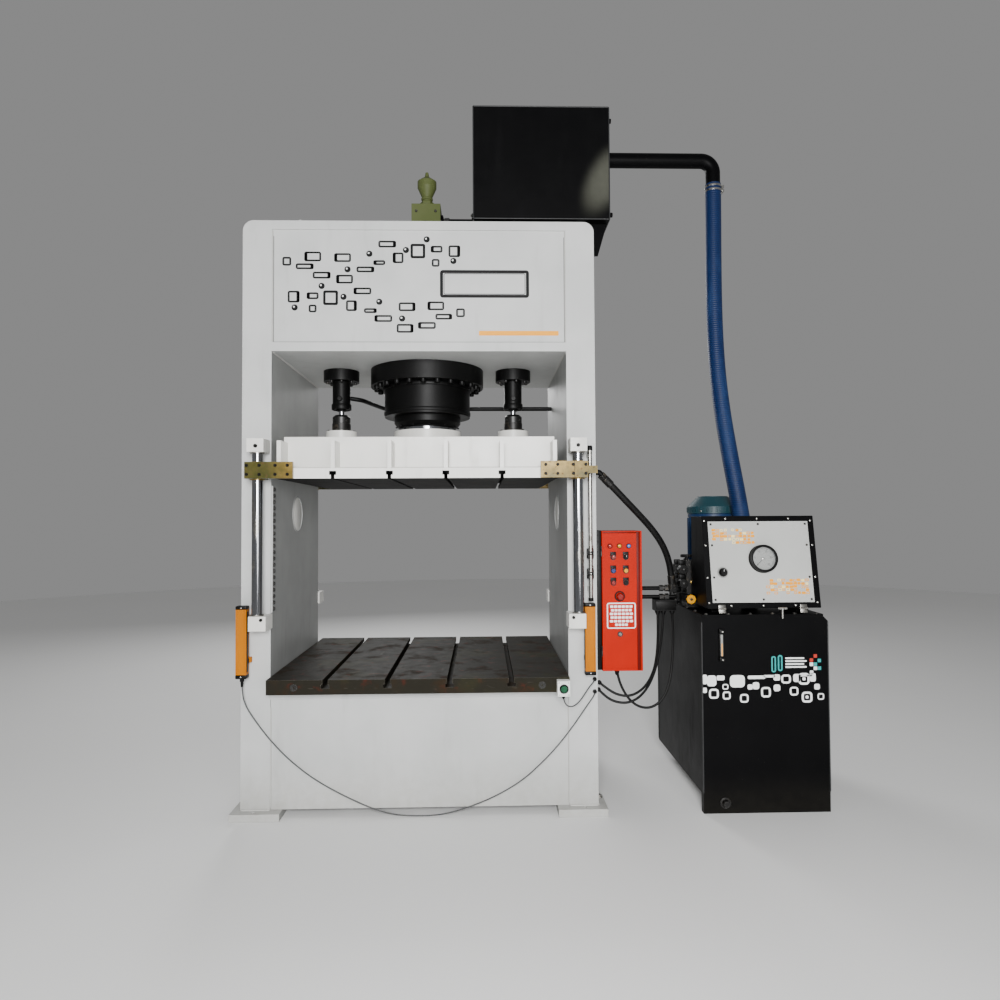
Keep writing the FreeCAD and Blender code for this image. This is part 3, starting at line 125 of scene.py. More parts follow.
class Finish:
    """A material in the making: one Principled shader, and the nodes that feed it."""

    def __init__(self, name, **constants):
        self.material = bpy.data.materials.new(name)
        self.material.use_nodes = True
        self.nodes = self.material.node_tree.nodes
        self.links = self.material.node_tree.links
        self.shader = self.nodes["Principled BSDF"]
        for socket, value in constants.items():
            title = socket.replace("_", " ").title().replace("Ior", "IOR")
            self.shader.inputs[title].default_value = value

    def add(self, kind, settings=None, inputs=None, out=0):
        """Adds a node: its settings first, then the value or link of each socket."""
        node = self.nodes.new(kind)
        for key, value in (settings or {}).items():
            if key == "stops":
                stops = node.color_ramp.elements
                while len(stops) < len(value):
                    stops.new(0.5)
                for stop, (place, colour) in zip(stops, value):
                    stop.position, stop.color = (place, colour)
            else:
                setattr(node, key, value)
        for key, value in (inputs or {}).items():
            self.feed(node.inputs[key], value)
        return Wire(self, node.outputs[out])

    def feed(self, socket, value):
        if isinstance(value, Wire):
            self.links.new(value.socket, socket)
        else:
            socket.default_value = value

    def show(self, **sockets):
        """Feeds the shader: show(Base_Color=..., Roughness=...)."""
        for socket, value in sockets.items():
            self.feed(self.shader.inputs[socket.replace("_", " ")], value)
        return self.material

    def where(self, stretch=(1, 1, 1)):
        """The place in the model, in metres, scaled along each axis."""
        here = self.add("ShaderNodeTexCoord", out=3)
        return self.add("ShaderNodeVectorMath", {"operation": "MULTIPLY"}, {0: here, 1: stretch})

    def along(self, axis):
        """The distance along X, Y or Z, in metres."""
        return self.add("ShaderNodeSeparateXYZ", {}, {0: self.where()}, out="XYZ".index(axis))

    def cloud(self, size, detail=3.0, stretch=(1, 1, 1), rough=0.55):
        """Soft noise with lumps of about that size, around a half."""
        return self.add("ShaderNodeTexNoise", {}, {"Vector": self.where(stretch), "Scale": 1 / size,
            "Detail": detail, "Roughness": rough})

    def bands(self, pitch, axis, wander=0.0):
        """Ripples across an axis, one for each pitch."""
        return self.add("ShaderNodeTexWave", {"bands_direction": axis},
            {"Vector": self.where(), "Scale": 0.314 / pitch, "Distortion": wander, "Detail": 1.0,
            "Detail Scale": 3.0})

    def step(self, value, low, high):
        """0 below low, 1 above high, smooth between; the other way round if low is higher."""
        return self.add("ShaderNodeMapRange", {"interpolation_type": "SMOOTHSTEP"},
            {"Value": value, "From Min": low, "From Max": high})

    def between(self, value, low, high):
        """Spreads 0 to 1 over low to high."""
        return self.add("ShaderNodeMapRange", {}, {"Value": value, "To Min": low, "To Max": high})

    def mix(self, share, first, second):
        """Blends two colours, each a link or a code."""
        first, second = (tint(c) if isinstance(c, str) else c for c in (first, second))
        return self.add("ShaderNodeMix", {"data_type": "RGBA"}, {0: share, 6: first, 7: second},
            out=2)

    def soft_edge(self, radius):
        """The normal as it is on an edge rounded to that radius."""
        return self.add("ShaderNodeBevel", {"samples": 4}, {"Radius": radius})

    def edge_share(self, soft):
        """1 on sharp edges and 0 on flat faces."""
        flat = self.add("ShaderNodeNewGeometry", out=1)
        same = self.add("ShaderNodeVectorMath", {"operation": "DOT_PRODUCT"}, {0: soft, 1: flat},
            out=1)
        return self.step(1 - same, 0.01, 0.2)

    def bump(self, height, depth, soft=None):
        sockets = {"Height": height, "Distance": depth, "Strength": 1.0}
        if soft is not None:
            sockets["Normal"] = soft
        return self.add("ShaderNodeBump", {}, sockets)


def make_enamel(name, colour, shade, rough, wear, wear_share=0.5, peel=0.00025, soft=0.002,
        dust=None, dust_top=0.5, grime=0.0, shine=0.5, painted_highlight=None, inner=None):
    """Sprayed machine paint: cloudy tone, orange peel, worn edges, smears and floor dust; where
    asked, painted shade on the uprights' inner walls and a painted highlight patch.
    """
    f = Finish(name, metallic=0.0, coat_roughness=0.12, coat_weight=0.0, specular_ior_level=shine)
    tone = f.step(f.cloud(0.45, 4.0), 0.35, 0.7)
    smear = f.step(f.cloud(0.09, 5.0, (1, 1, 0.16), 0.6), 0.54, 0.78)
    base = f.mix(tone * 0.7, colour, shade)
    if grime:
        base = f.mix(smear * grime, base, "5a564c")
    speck = f.step(f.cloud(0.006, 2.0), 0.7, 0.76) * f.step(f.cloud(0.12), 0.5, 0.62)
    base = f.mix(speck * 0.45, base, wear)
    rounded = f.soft_edge(soft)
    edge = f.edge_share(rounded)
    worn = edge * f.step(f.cloud(0.03, 4.0), 0.42, 0.6) * wear_share
    base = f.mix(worn, base, wear)
    if dust:
        low = f.step(f.along("Z"), dust_top, 0.0)
        base = f.mix(low * f.between(f.cloud(0.05, 5.0), 0.1, 1.0) * 0.55, base, dust)
    # Painted shade: inner-wall faces looking along X, at |x| near inner, are darkened towards grey
    # 6a6b69 to stand in for the shade inside the frame.
    if inner:
        facing = f.add("ShaderNodeNewGeometry", out=1)
        turned = f.add("ShaderNodeSeparateXYZ", {}, {0: facing})
        lean = f.add("ShaderNodeMath", {"operation": "ABSOLUTE"}, {0: turned})
        side = f.add("ShaderNodeMath", {"operation": "ABSOLUTE"}, {0: f.along("X")})
        painted_shade_wall = f.step(lean, 0.5, 0.7) * f.step(side, inner + 0.004, inner + 0.002)
        base = f.mix(painted_shade_wall * f.between(f.cloud(0.2, 4.0), 0.5, 0.72), base, "6a6b69")
    uneven = f.between(f.cloud(0.16, 4.0), -0.07, 0.07) + smear * 0.1 + worn * 0.15 + rough
    # Painted highlight: a soft pale diagonal patch (57584f) on the tank's front face, standing in
    # for the key light's reflection.
    if painted_highlight:
        across, up = f.along("X") - painted_highlight[0], f.along("Z") - painted_highlight[1]
        long, short = (across * 0.45 + up * 0.89) * 3.0, (across * 0.89 - up * 0.45) * 6.0
        painted_highlight_spot = f.step(long * long + short * short, 1.0, 0.0)
        front = f.step(f.along("Y"), painted_highlight_face_y + 0.004, painted_highlight_face_y + 0.002)
        base = f.mix(painted_highlight_spot * painted_highlight_spot * painted_highlight_spot * front * f.between(f.cloud(0.05, 5.0), 0.55, 0.85),
            base, "57584f")
    peel_height = f.cloud(0.0045, 2.0) * 0.6 + f.cloud(0.11, 2.0) * 2.2
    return f.show(Base_Color=base, Roughness=uneven, Normal=f.bump(peel_height, peel, rounded))


def make_machined(name, colour, shade, rough, grain=(1, 1, 1), metal=1.0, stain=None,
        stain_share=0.6, soft=0.0012, line=0.0008, depth=6e-05):
    """Turned or milled metal: fine tool lines, cloudy tone, and stains where handled."""
    f = Finish(name, metallic=metal)
    lines = f.cloud(line, 2.0, grain)
    base = f.mix(lines, colour, shade)
    if stain:
        spot = f.step(f.cloud(0.035, 5.0), 0.55, 0.68) * stain_share
        base = f.mix(spot, base, stain)
    rounded = f.soft_edge(soft)
    base = f.mix(f.edge_share(rounded) * 0.5, base, "cfccc4")
    uneven = f.between(f.cloud(0.04, 4.0), -0.06, 0.08) + f.between(lines, -0.04, 0.04) + rough
    return f.show(Base_Color=base, Roughness=uneven, Normal=f.bump(lines, depth, rounded))


def make_chrome(name, oil="8a7c52"):
    """Hard chrome on a sliding rod: fine lines along the stroke and a broken film of oil."""
    f = Finish(name, metallic=1.0)
    lines = f.cloud(0.0011, 2.0, (1, 1, 0.02))
    film = f.step(f.cloud(0.05, 5.0, (1, 1, 0.3)), 0.5, 0.66)
    base = f.mix(film * 0.3, f.mix(lines, "a4a6aa", "8b8d92"), oil)
    return f.show(Base_Color=base, Roughness=0.09 + film * 0.16 + lines * 0.05,
        Normal=f.bump(lines + film * 2, 3e-05))


def make_bolster_iron():
    """Oiled cast iron, milled across, with rust, dried coolant and bright rubbed edges."""
    f = Finish("oiled_bolster_iron", metallic=0.0, specular_ior_level=0.035)
    mill = f.cloud(0.0016, 2.0, (0.06, 1, 1))
    base = f.mix(mill, "1d1b17", "2b2922")
    rust = f.step(f.cloud(0.16, 6.0, rough=0.62), 0.5, 0.68)
    red = f.step(f.cloud(0.07, 6.0, rough=0.65), 0.56, 0.66)
    olive = f.step(f.cloud(0.28, 5.0), 0.52, 0.66)
    scratch = f.step(f.cloud(0.012, 3.0, (0.2, 0.05, 1)), 0.66, 0.74)
    base = f.mix(olive * 0.5, base, "33331f")
    base = f.mix(rust * 0.4, base, "38281a")
    base = f.mix(red * 0.5, base, "4c2118")
    base = f.mix(scratch * 0.3, base, "55524a")
    rounded = f.soft_edge(0.002)
    edge = f.edge_share(rounded)
    base = f.mix(edge * f.between(f.cloud(0.02, 3.0), 0.2, 0.9), base, "8b877d")
    rough = 0.56 + rust * 0.2 + f.between(f.cloud(0.06), -0.08, 0.1) - edge * 0.08
    height = mill + rust * 3 + f.cloud(0.004, 3.0) * 2
    return f.show(Base_Color=base, Roughness=rough, Normal=f.bump(height, 0.00012, rounded))


def make_plate_finish():
    """White enamel on the plate's edges; its face and slots are bare oiled iron."""
    f = Finish("platen_plate_enamel_and_iron", specular_ior_level=0.06)
    normal = f.add("ShaderNodeNewGeometry", out=1)
    lean = f.add("ShaderNodeSeparateXYZ", {}, {0: normal}, out=1)
    upright = f.add("ShaderNodeMath", {"operation": "ABSOLUTE"}, {0: lean})
    side = f.add("ShaderNodeMath", {"operation": "ABSOLUTE"}, {0: f.along("X")})
    bare = f.step(f.along("Z"), 1.8733, 1.8728) * f.step(upright, 0.6, 0.4) * f.step(side, 0.7547,
        0.7543)
    mill = f.cloud(0.0016, 2.0, (0.06, 1, 1))
    rust = f.step(f.cloud(0.12, 6.0, rough=0.62), 0.5, 0.68)
    iron = f.mix(rust * 0.5, f.mix(mill, "1c1c1c", "272625"), "2c241b")
    tone = f.step(f.cloud(0.45, 4.0), 0.35, 0.7)
    smear = f.step(f.cloud(0.09, 5.0, (1, 1, 0.16), 0.6), 0.54, 0.78)
    paint = f.mix(tone * 0.7, "efeeea", "e2e1dc")
    paint = f.mix(smear * 0.18, paint, "5a564c")
    rounded = f.soft_edge(0.002)
    paint = f.mix(f.edge_share(rounded) * f.step(f.cloud(0.03, 4.0), 0.42, 0.6) * 0.5, paint,
        "8b8778")
    height = f.cloud(0.0045, 2.0) * 0.6 + f.cloud(0.11, 2.0) * 2.2
    return f.show(Base_Color=f.mix(bare, paint, iron), Metallic=bare * 0.1,
        Roughness=0.4 + f.between(f.cloud(0.16, 4.0), -0.07, 0.07) + bare * 0.25,
        Normal=f.bump(height, 0.00025, rounded))


def make_pullback_rod_finish():
    """A polished rod in a black coupling nut."""
    f = Finish("pullback_rod_and_nut")
    nut = f.step(f.along("Z"), 2.269, 2.2675)
    lines = f.cloud(0.0011, 2.0, (1, 1, 0.02))
    bright = f.mix(lines, "d8d9dc", "a9abb0")
    black = f.mix(f.cloud(0.02, 4.0), "0c0c0c", "1a1a19")
    return f.show(Base_Color=f.mix(nut, bright, black), Metallic=1 - nut * 0.9,
        Roughness=0.14 + nut * 0.2 + f.cloud(0.03, 3.0) * 0.08, Normal=f.bump(lines + f.cloud(0.004,
        2.0) * nut * 3, 4e-05, f.soft_edge(0.0015)))


def make_passivated():
    """Zinc plate turned yellow and green, rubbed through to grey and spotted with rust."""
    f = Finish("passivated_arm_steel", metallic=0.15, specular_ior_level=0.3)
    drift = f.add("ShaderNodeValToRGB", {"stops": [(0.3, tint("4b4417")), (0.46, tint("6e5a20")),
        (0.6, tint("8d7538")), (0.8, tint("604619"))]}, {0: f.cloud(0.09, 4.0)})
    green = f.step(f.along("X"), -0.66, -0.8) * f.between(f.cloud(0.07, 4.0), 0.6, 1.0)
    drift = f.mix(green, drift, "2a330a")
    spot = f.step(f.cloud(0.014, 4.0), 0.6, 0.68)
    base = f.mix(spot * 0.7, drift, "5c3b22")
    rounded = f.soft_edge(0.0012)
    base = f.mix(f.edge_share(rounded) * 0.6, base, "c9c2ad")
    return f.show(Base_Color=base, Roughness=0.36 + spot * 0.25 + f.between(f.cloud(0.03), -0.08,
        0.08), Normal=f.bump(f.cloud(0.003, 3.0) + spot, 0.00012, rounded))


def make_plastic(name, colour, shade, rough=0.28, coat=0.0, texture=0.0018, depth=5e-05, shine=0.4):
    """Moulded plastic with a fine skin, finger marks and slightly paler rims."""
    f = Finish(name, coat_weight=coat, coat_roughness=0.08, specular_ior_level=shine)
    mark = f.step(f.cloud(0.012, 4.0), 0.45, 0.7)
    rounded = f.soft_edge(0.0012)
    base = f.mix(mark * 0.6, colour, shade)
    base = f.mix(f.edge_share(rounded) * 0.12, base, shade)
    return f.show(Base_Color=base, Roughness=rough + mark * 0.12, Normal=f.bump(f.cloud(texture,
        2.0), depth, rounded))


def make_lamp(name, colour, glow):
    """A ribbed lens over a small bulb, unlit but bright."""
    f = Finish(name, coat_weight=0.8, coat_roughness=0.05, emission_strength=0.08)
    ribs = f.bands(0.0022, "X")
    base = f.mix(ribs * 0.5, colour, glow)
    return f.show(Base_Color=base, Emission_Color=f.mix(ribs, colour, glow),
        Roughness=0.16 + ribs * 0.1, Normal=f.bump(ribs, 0.0003))


def make_blue_hose():
    """Flat-woven suction hose: ribbed over its helix, chalky where it is rubbed."""
    f = Finish("blue_suction_hose", specular_ior_level=0.25)
    ribs = f.bands(0.0135, "Z", 0.5)
    weave = f.cloud(0.0016, 2.0, (1, 1, 0.6))
    chalk = f.step(f.cloud(0.09, 5.0, (1, 1, 0.35)), 0.48, 0.72)
    base = f.mix(ribs * 0.4, "0a1d42", "12305f")
    base = f.mix(chalk * 0.25, base, "274877")
    return f.show(Base_Color=base, Roughness=0.42 + chalk * 0.15 + weave * 0.08,
        Normal=f.bump(ribs * 2.5 + weave, 0.0004))


def make_rubber(name, colour, shade, rough=0.5, wrap=0.0):
    """Extruded rubber or cable sheath: fine skin, dust and a cloth-marked surface."""
    f = Finish(name, specular_ior_level=0.25)
    dusty = f.step(f.cloud(0.03, 5.0), 0.45, 0.7)
    skin = f.cloud(0.0022, 2.0)
    base = f.mix(dusty * 0.45, colour, shade)
    height = skin + (f.bands(0.004, "Z", 1.5) * wrap if wrap else 0.0)
    return f.show(Base_Color=base, Roughness=rough + dusty * 0.14, Normal=f.bump(height, 0.00012))


def make_printed(name, colour, shade, rough=0.4):
    """Screen-printed ink or cut vinyl: almost even, with a little wear."""
    f = Finish(name, specular_ior_level=0.2)
    rub = f.step(f.cloud(0.01, 4.0), 0.55, 0.75)
    return f.show(Base_Color=f.mix(rub * 0.35, colour, shade),
        Roughness=rough + rub * 0.15, Normal=f.bump(f.cloud(0.002, 2.0), 2e-05))


def make_glass():
    """Clear gauge glass with faint wipe marks."""
    f = Finish("gauge_glass", alpha=0.14, coat_weight=1.0, coat_roughness=0.02)
    return f.show(Base_Color=f.mix(f.cloud(0.02), "e9eeee", "f6f8f8"),
        Roughness=0.03 + f.step(f.cloud(0.015, 4.0), 0.55, 0.8) * 0.06)


def make_weld(name, colour, shade, rough):
    """Paint over a weld bead: thin on the ripples and dark in the valleys."""
    f = Finish(name)
    tone = f.cloud(0.006, 3.0)
    return f.show(Base_Color=f.mix(tone, colour, shade),
        Roughness=rough + f.between(tone, -0.06, 0.08), Normal=f.bump(f.cloud(0.003, 3.0), 0.0003))


# Frame paint; inner=0.815 paints shade onto the uprights' inner walls.
FRAME_PAINT = make_enamel("frame_grey_enamel_with_painted_inner_shade", "c4c5c4", "b5b7b6", 0.46, "8f8d86", 0.35,
    dust="8d887a", dust_top=0.4, grime=0.12, shine=0.2, inner=0.815)
PLATEN_PAINT = make_enamel("platen_white_enamel", "e2e1dc", "d3d2cc", 0.36, "8b8778", 0.5,
    grime=0.18)
CYLINDER_BLACK = make_enamel("cylinder_black_enamel", "060606", "0b0b0b", 0.42, "4b4842", 0.35,
    peel=0.0003, shine=0.15)
TANK_BLACK = make_enamel("tank_black_enamel", "060607", "0a0a0b", 0.42, "4a4842", 0.25,
    peel=0.00045, dust="26241f", dust_top=0.25, shine=0.06)
# Tank black with a painted highlight patch near the lower right of its front.
TANK_BLACK_HIGHLIT = make_enamel("tank_black_enamel_painted_highlight", "060607", "0a0a0b", 0.4, "4a4842", 0.25, peel=0.00045,
    shine=0.1, painted_highlight=(1.09, 3.64))
VALVE_OLIVE = make_enamel("valve_olive_primer", "4a5329", "59603a", 0.55, "77775f", 0.5, grime=0.4,
    soft=0.003, shine=0.25)
CABINET_RED = make_enamel("cabinet_red_enamel", "ae1802", "9c1202", 0.42, "5e2a1c", 0.3, grime=0.04,
    shine=0.06)
# A darker red for the painted shade beside the cabinet door's folds.
CABINET_FOLD_PAINTED_SHADE = make_enamel("cabinet_red_painted_fold_shade", "5e0702", "4e0602", 0.42, "3a1a12", 0.3,
    shine=0.12)
CURTAIN_YELLOW = make_enamel("curtain_yellow_enamel", "b96d00", "a66000", 0.42, "8f8a7c", 0.25,
    grime=0.12, shine=0.06)
MOTOR_BLUE = make_enamel("motor_blue_enamel", "17355c", "122a4a", 0.42, "4f5764", 0.35, grime=0.25,
    shine=0.25)
COWL_TEAL = make_enamel("cowl_teal_enamel", "1c4048", "17353d", 0.42, "5f6c6c", 0.35, grime=0.15,
    shine=0.3)
PANEL_GREY = make_enamel("console_grey_enamel", "b4b5b2", "a9aaa7", 0.42, "84827a", 0.3, grime=0.05,
    shine=0.3)
BOX_WHITE = make_plastic("button_box_white", "e6e8e4", "d9dbd6", 0.4)
CHROME = make_chrome("guide_rod_chrome")
RAM_CHROME = make_chrome("ram_chrome", "6d5f3c")
STEEL = make_machined("turned_steel", "a7a5a0", "8f8d88", 0.3, (1, 1, 6), stain="5e5a50")
BRIGHT_STEEL = make_machined("plated_screw_steel", "c9c8c4", "acaaa5", 0.26, stain="77736a",
    stain_share=0.4)
DARK_STEEL = make_machined("blackened_screw_steel", "171615", "100f0f", 0.42, metal=0.3,
    stain="4b4338")
BRASS = make_machined("fitting_brass", "b99a52", "9a7d3e", 0.28, stain="6a5a34")
PLATE_FINISH = make_plate_finish()
ROD_FINISH = make_pullback_rod_finish()
BOLSTER_IRON = make_bolster_iron()
PASSIVATED = make_passivated()
HOSE_BLUE = make_blue_hose()
HOSE_BLACK = make_rubber("pressure_hose_rubber", "090909", "191817", 0.5, 0.6)
CABLE_BLACK = make_rubber("black_cable_sheath", "0b0b0b", "1c1b1a", 0.5)
CABLE_GREY = make_rubber("grey_cable_sheath", "4a4b4c", "626260", 0.46)
BLACK_PLASTIC = make_plastic("black_moulding", "070707", "0e0e0d", 0.42, shine=0.15)
GREEN_BUTTON = make_plastic("green_button_cap", "04472a", "0a5534", 0.3, 0.1, shine=0.2)
RED_BUTTON = make_plastic("red_button_cap", "7a0a06", "8c130d", 0.3, 0.1, shine=0.2)
BLUE_BUTTON = make_plastic("blue_button_cap", "0e2266", "162d78", 0.3, 0.1, shine=0.2)
YELLOW_BUTTON = make_plastic("yellow_button_cap", "cf9000", "bd8100", 0.3, 0.1, shine=0.12)
RED_LAMP = make_lamp("red_lamp_lens", "8a0c0a", "c4281c")
YELLOW_LAMP = make_lamp("yellow_lamp_lens", "c07c08", "e0a820")
PALE_LAMP = make_lamp("pale_lamp_lens", "38549a", "5a78bc")
INK_BLACK = make_printed("black_ink", "040404", "101010", 0.5)
INK_WHITE = make_printed("white_ink", "f7f8f7", "ecedeb")
INK_AMBER = make_printed("amber_ink", "f3a215", "e8930c")
INK_CREAM = make_printed("cream_ink", "ffe9a0", "f7d98a")
# Grey for the painted shadow line round the crown panel's edges.
PANEL_EDGE_SHADOW_GREY = make_printed("panel_edge_painted_shadow", "6f706f", "858685", 0.5)
INK_TEAL = make_printed("teal_ink", "2d9a98", "3aa8a2")
INK_RED = make_printed("red_ink", "b8392c", "c94a38")
DIAL_WHITE = make_printed("dial_white", "8c8d8a", "7e7f7c", 0.4)
GLASS = make_glass()
FRAME_WELD = make_weld("painted_frame_weld", "c3c3c0", "a9a8a3", 0.46)
PLATEN_WELD = make_weld("painted_platen_weld", "dcdbd5", "c2c0b8", 0.42)
TANK_WELD = make_weld("painted_tank_weld", "1b1c1d", "2a2b2c", 0.4)

NODE_FINISHES = (
    (FRAME_PAINT, "left_upright right_upright crown bed foot_plates"),
    (BOLSTER_IRON, "bolster"),
    (BOX_WHITE, "button_box"),
    (GREEN_BUTTON, "green_button"),
    (PLATE_FINISH, "platen_plate"),
    (PLATEN_PAINT, "platen_box guide_rod_blocks"),
    (CYLINDER_BLACK, "cylinder_barrel cylinder_gland pullback_cylinders "
     "hydraulic_pipes pressure_gauge solenoid_valves"),
    (RAM_CHROME, "ram"),
    (ROD_FINISH, "pullback_rods"),
    (CHROME, "guide_rods"),
    (PASSIVATED, "guide_arms"),
    (STEEL, "limit_rod door_key pump motor_rotor"),
    (CURTAIN_YELLOW, "light_curtains"),
    (TANK_BLACK_HIGHLIT, "overhead_tank"),
    (TANK_BLACK, "tank_stand tank_pipe reservoir reservoir_lid console_case"),
    (VALVE_OLIVE, "prefill_valve"),
    (CABINET_RED, "cabinet_box cabinet_door"),
    (RED_BUTTON, "top_left_selector bottom_left_button emergency_stop"),
    (BLACK_PLASTIC, "top_right_selector bottom_right_button gauge_needle "
     "console_knob relief_handwheel cable_terminals"),
    (BLUE_BUTTON, "middle_left_button"),
    (YELLOW_BUTTON, "middle_right_button adjusting_wheel"),
    (MOTOR_BLUE, "motor_body bell_housing"),
    (COWL_TEAL, "fan_cowl"),
    (PANEL_GREY, "console_panel"),
    (DARK_STEEL, "manifold"),
    (BRIGHT_STEEL, "tee_handle"),
)
for finish, names in NODE_FINISHES:
    for name in names.split():
        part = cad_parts[name].data
        part.materials.clear()
        part.materials.append(finish)
        for face in part.polygons:
            face.material_index = 0


# ---- cords ----

SUCTION_POINTS = [(1.84, 0, 3.757), (1.838, -0.004, 3.56), (1.832, -0.014, 3.33),
    (1.826, -0.028, 3.06), (1.824, -0.044, 2.78), (1.831, -0.064, 2.51), (1.85, -0.092, 2.25),
    (1.88, -0.126, 1.99), (1.914, -0.156, 1.74), (1.944, -0.172, 1.51), (1.96, -0.178, 1.33),
    (1.966, -0.18, 1.18)]
HOSE_POINTS = [(1.026, -0.476, 1.846), (1.084, -0.462, 1.79), (1.158, -0.44, 1.716),
    (1.246, -0.402, 1.632), (1.328, -0.358, 1.552), (1.398, -0.31, 1.468), (1.446, -0.264, 1.382),
    (1.474, -0.228, 1.294), (1.486, -0.208, 1.206)]
LOOP_A_POINTS = [(0.995, -0.47, 0.692), (1.04, -0.48, 0.656), (1.096, -0.494, 0.626),
    (1.16, -0.5, 0.62), (1.222, -0.49, 0.644), (1.274, -0.464, 0.686), (1.318, -0.424, 0.748),
    (1.348, -0.372, 0.826), (1.368, -0.318, 0.912), (1.381, -0.27, 0.988), (1.388, -0.24, 1.06)]
LOOP_B_POINTS = [(0.995, -0.44, 0.646), (1.036, -0.456, 0.604), (1.092, -0.474, 0.58),
    (1.158, -0.482, 0.578), (1.222, -0.468, 0.604), (1.278, -0.442, 0.656), (1.324, -0.404, 0.726),
    (1.36, -0.362, 0.81), (1.388, -0.316, 0.9), (1.41, -0.272, 0.985), (1.422, -0.24, 1.06)]
CABINET_POINTS = [(1.1, -0.45, 0.752), (1.108, -0.451, 0.706), (1.132, -0.454, 0.644),
    (1.168, -0.457, 0.588), (1.22, -0.457, 0.549), (1.282, -0.455, 0.54), (1.338, -0.448, 0.566),
    (1.38, -0.434, 0.616), (1.41, -0.414, 0.684), (1.43, -0.386, 0.766), (1.446, -0.35, 0.85),
    (1.459, -0.312, 0.93), (1.468, -0.274, 1.0), (1.474, -0.24, 1.06)]
CURTAIN_POINTS = [(-0.951, -0.59, 0.735), (-0.95, -0.587, 0.676), (-0.935, -0.578, 0.612),
    (-0.896, -0.574, 0.548), (-0.848, -0.571, 0.48), (-0.794, -0.569, 0.412),
    (-0.732, -0.568, 0.346), (-0.666, -0.567, 0.286), (-0.592, -0.566, 0.228),
    (-0.514, -0.565, 0.178), (-0.432, -0.564, 0.132), (-0.348, -0.563, 0.09),
    (-0.264, -0.562, 0.052), (-0.182, -0.561, 0.024), (-0.1, -0.56, 0.009), (-0.022, -0.56, 0.006),
    (0.056, -0.56, 0.006), (0.132, -0.561, 0.014), (0.208, -0.561, 0.032), (0.288, -0.562, 0.058),
    (0.366, -0.563, 0.088), (0.442, -0.564, 0.124), (0.516, -0.565, 0.166), (0.584, -0.566, 0.214),
    (0.644, -0.567, 0.268), (0.702, -0.568, 0.324), (0.756, -0.57, 0.384), (0.806, -0.572, 0.446),
    (0.85, -0.575, 0.506), (0.888, -0.578, 0.562), (0.92, -0.58, 0.608), (0.946, -0.576, 0.64),
    (0.958, -0.56, 0.66)]
BUTTON_POINTS = [(0.77, -0.674, 0.666), (0.773, -0.672, 0.642), (0.79, -0.662, 0.614),
    (0.824, -0.642, 0.604), (0.86, -0.62, 0.622), (0.89, -0.604, 0.656), (0.916, -0.592, 0.69),
    (0.94, -0.58, 0.714), (0.958, -0.56, 0.728)]


def make_cord(node, points, diameter, finish):
    """A smooth round cord that stands for its CAD part, from fitting to fitting."""
    data = bpy.data.curves.new(node + "_line", "CURVE")
    data.dimensions = "3D"
    data.bevel_depth = diameter / 2
    data.bevel_resolution = 8
    data.resolution_u = 10
    line = data.splines.new("NURBS")
    line.points.add(len(points) - 1)
    for knot, point in zip(line.points, points):
        knot.co = (*point, 1)
    line.order_u = 3
    line.use_endpoint_u = True
    data.materials.append(finish)
    cord = bpy.data.objects.new(node + "_line", data)
    bpy.context.collection.objects.link(cord)
    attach(cord, "frame")
    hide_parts(node)
    return cord


make_cord("suction_hose", SUCTION_POINTS, 0.1, HOSE_BLUE)
make_cord("pressure_hose", HOSE_POINTS, 0.038, HOSE_BLACK)
make_cord("loop_cable_a", LOOP_A_POINTS, 0.014, CABLE_BLACK)
make_cord("loop_cable_b", LOOP_B_POINTS, 0.014, CABLE_BLACK)
make_cord("cabinet_cable", CABINET_POINTS, 0.014, CABLE_BLACK)
make_cord("curtain_cable", CURTAIN_POINTS, 0.007, CABLE_GREY)
make_cord("button_cable", BUTTON_POINTS, 0.007, CABLE_GREY)


# ---- mesh tools ----


def turn_to(axis):
    """The turn that takes +Z to the axis."""
    return Vector(UP).rotation_difference(Vector(axis)).to_matrix().to_4x4()


def around(count, radius, start=0.0):
    """Points on a circle, as (x, y) pairs."""
    return [(radius * math.cos(start + 2 * math.pi * k / count),
             radius * math.sin(start + 2 * math.pi * k / count)) for k in range(count)]


def rounded_outline(wide, high, radius, steps=4):
    """Corner points of a rectangle with round corners, about its middle."""
    points = []
    for corner, (sx, sy) in enumerate(((1, 1), (-1, 1), (-1, -1), (1, -1))):
        for k in range(steps + 1):
            a = math.pi / 2 * (corner + k / steps)
            points.append((sx * (wide / 2 - radius) + radius * math.cos(a),
                           sy * (high / 2 - radius) + radius * math.sin(a)))
    return points


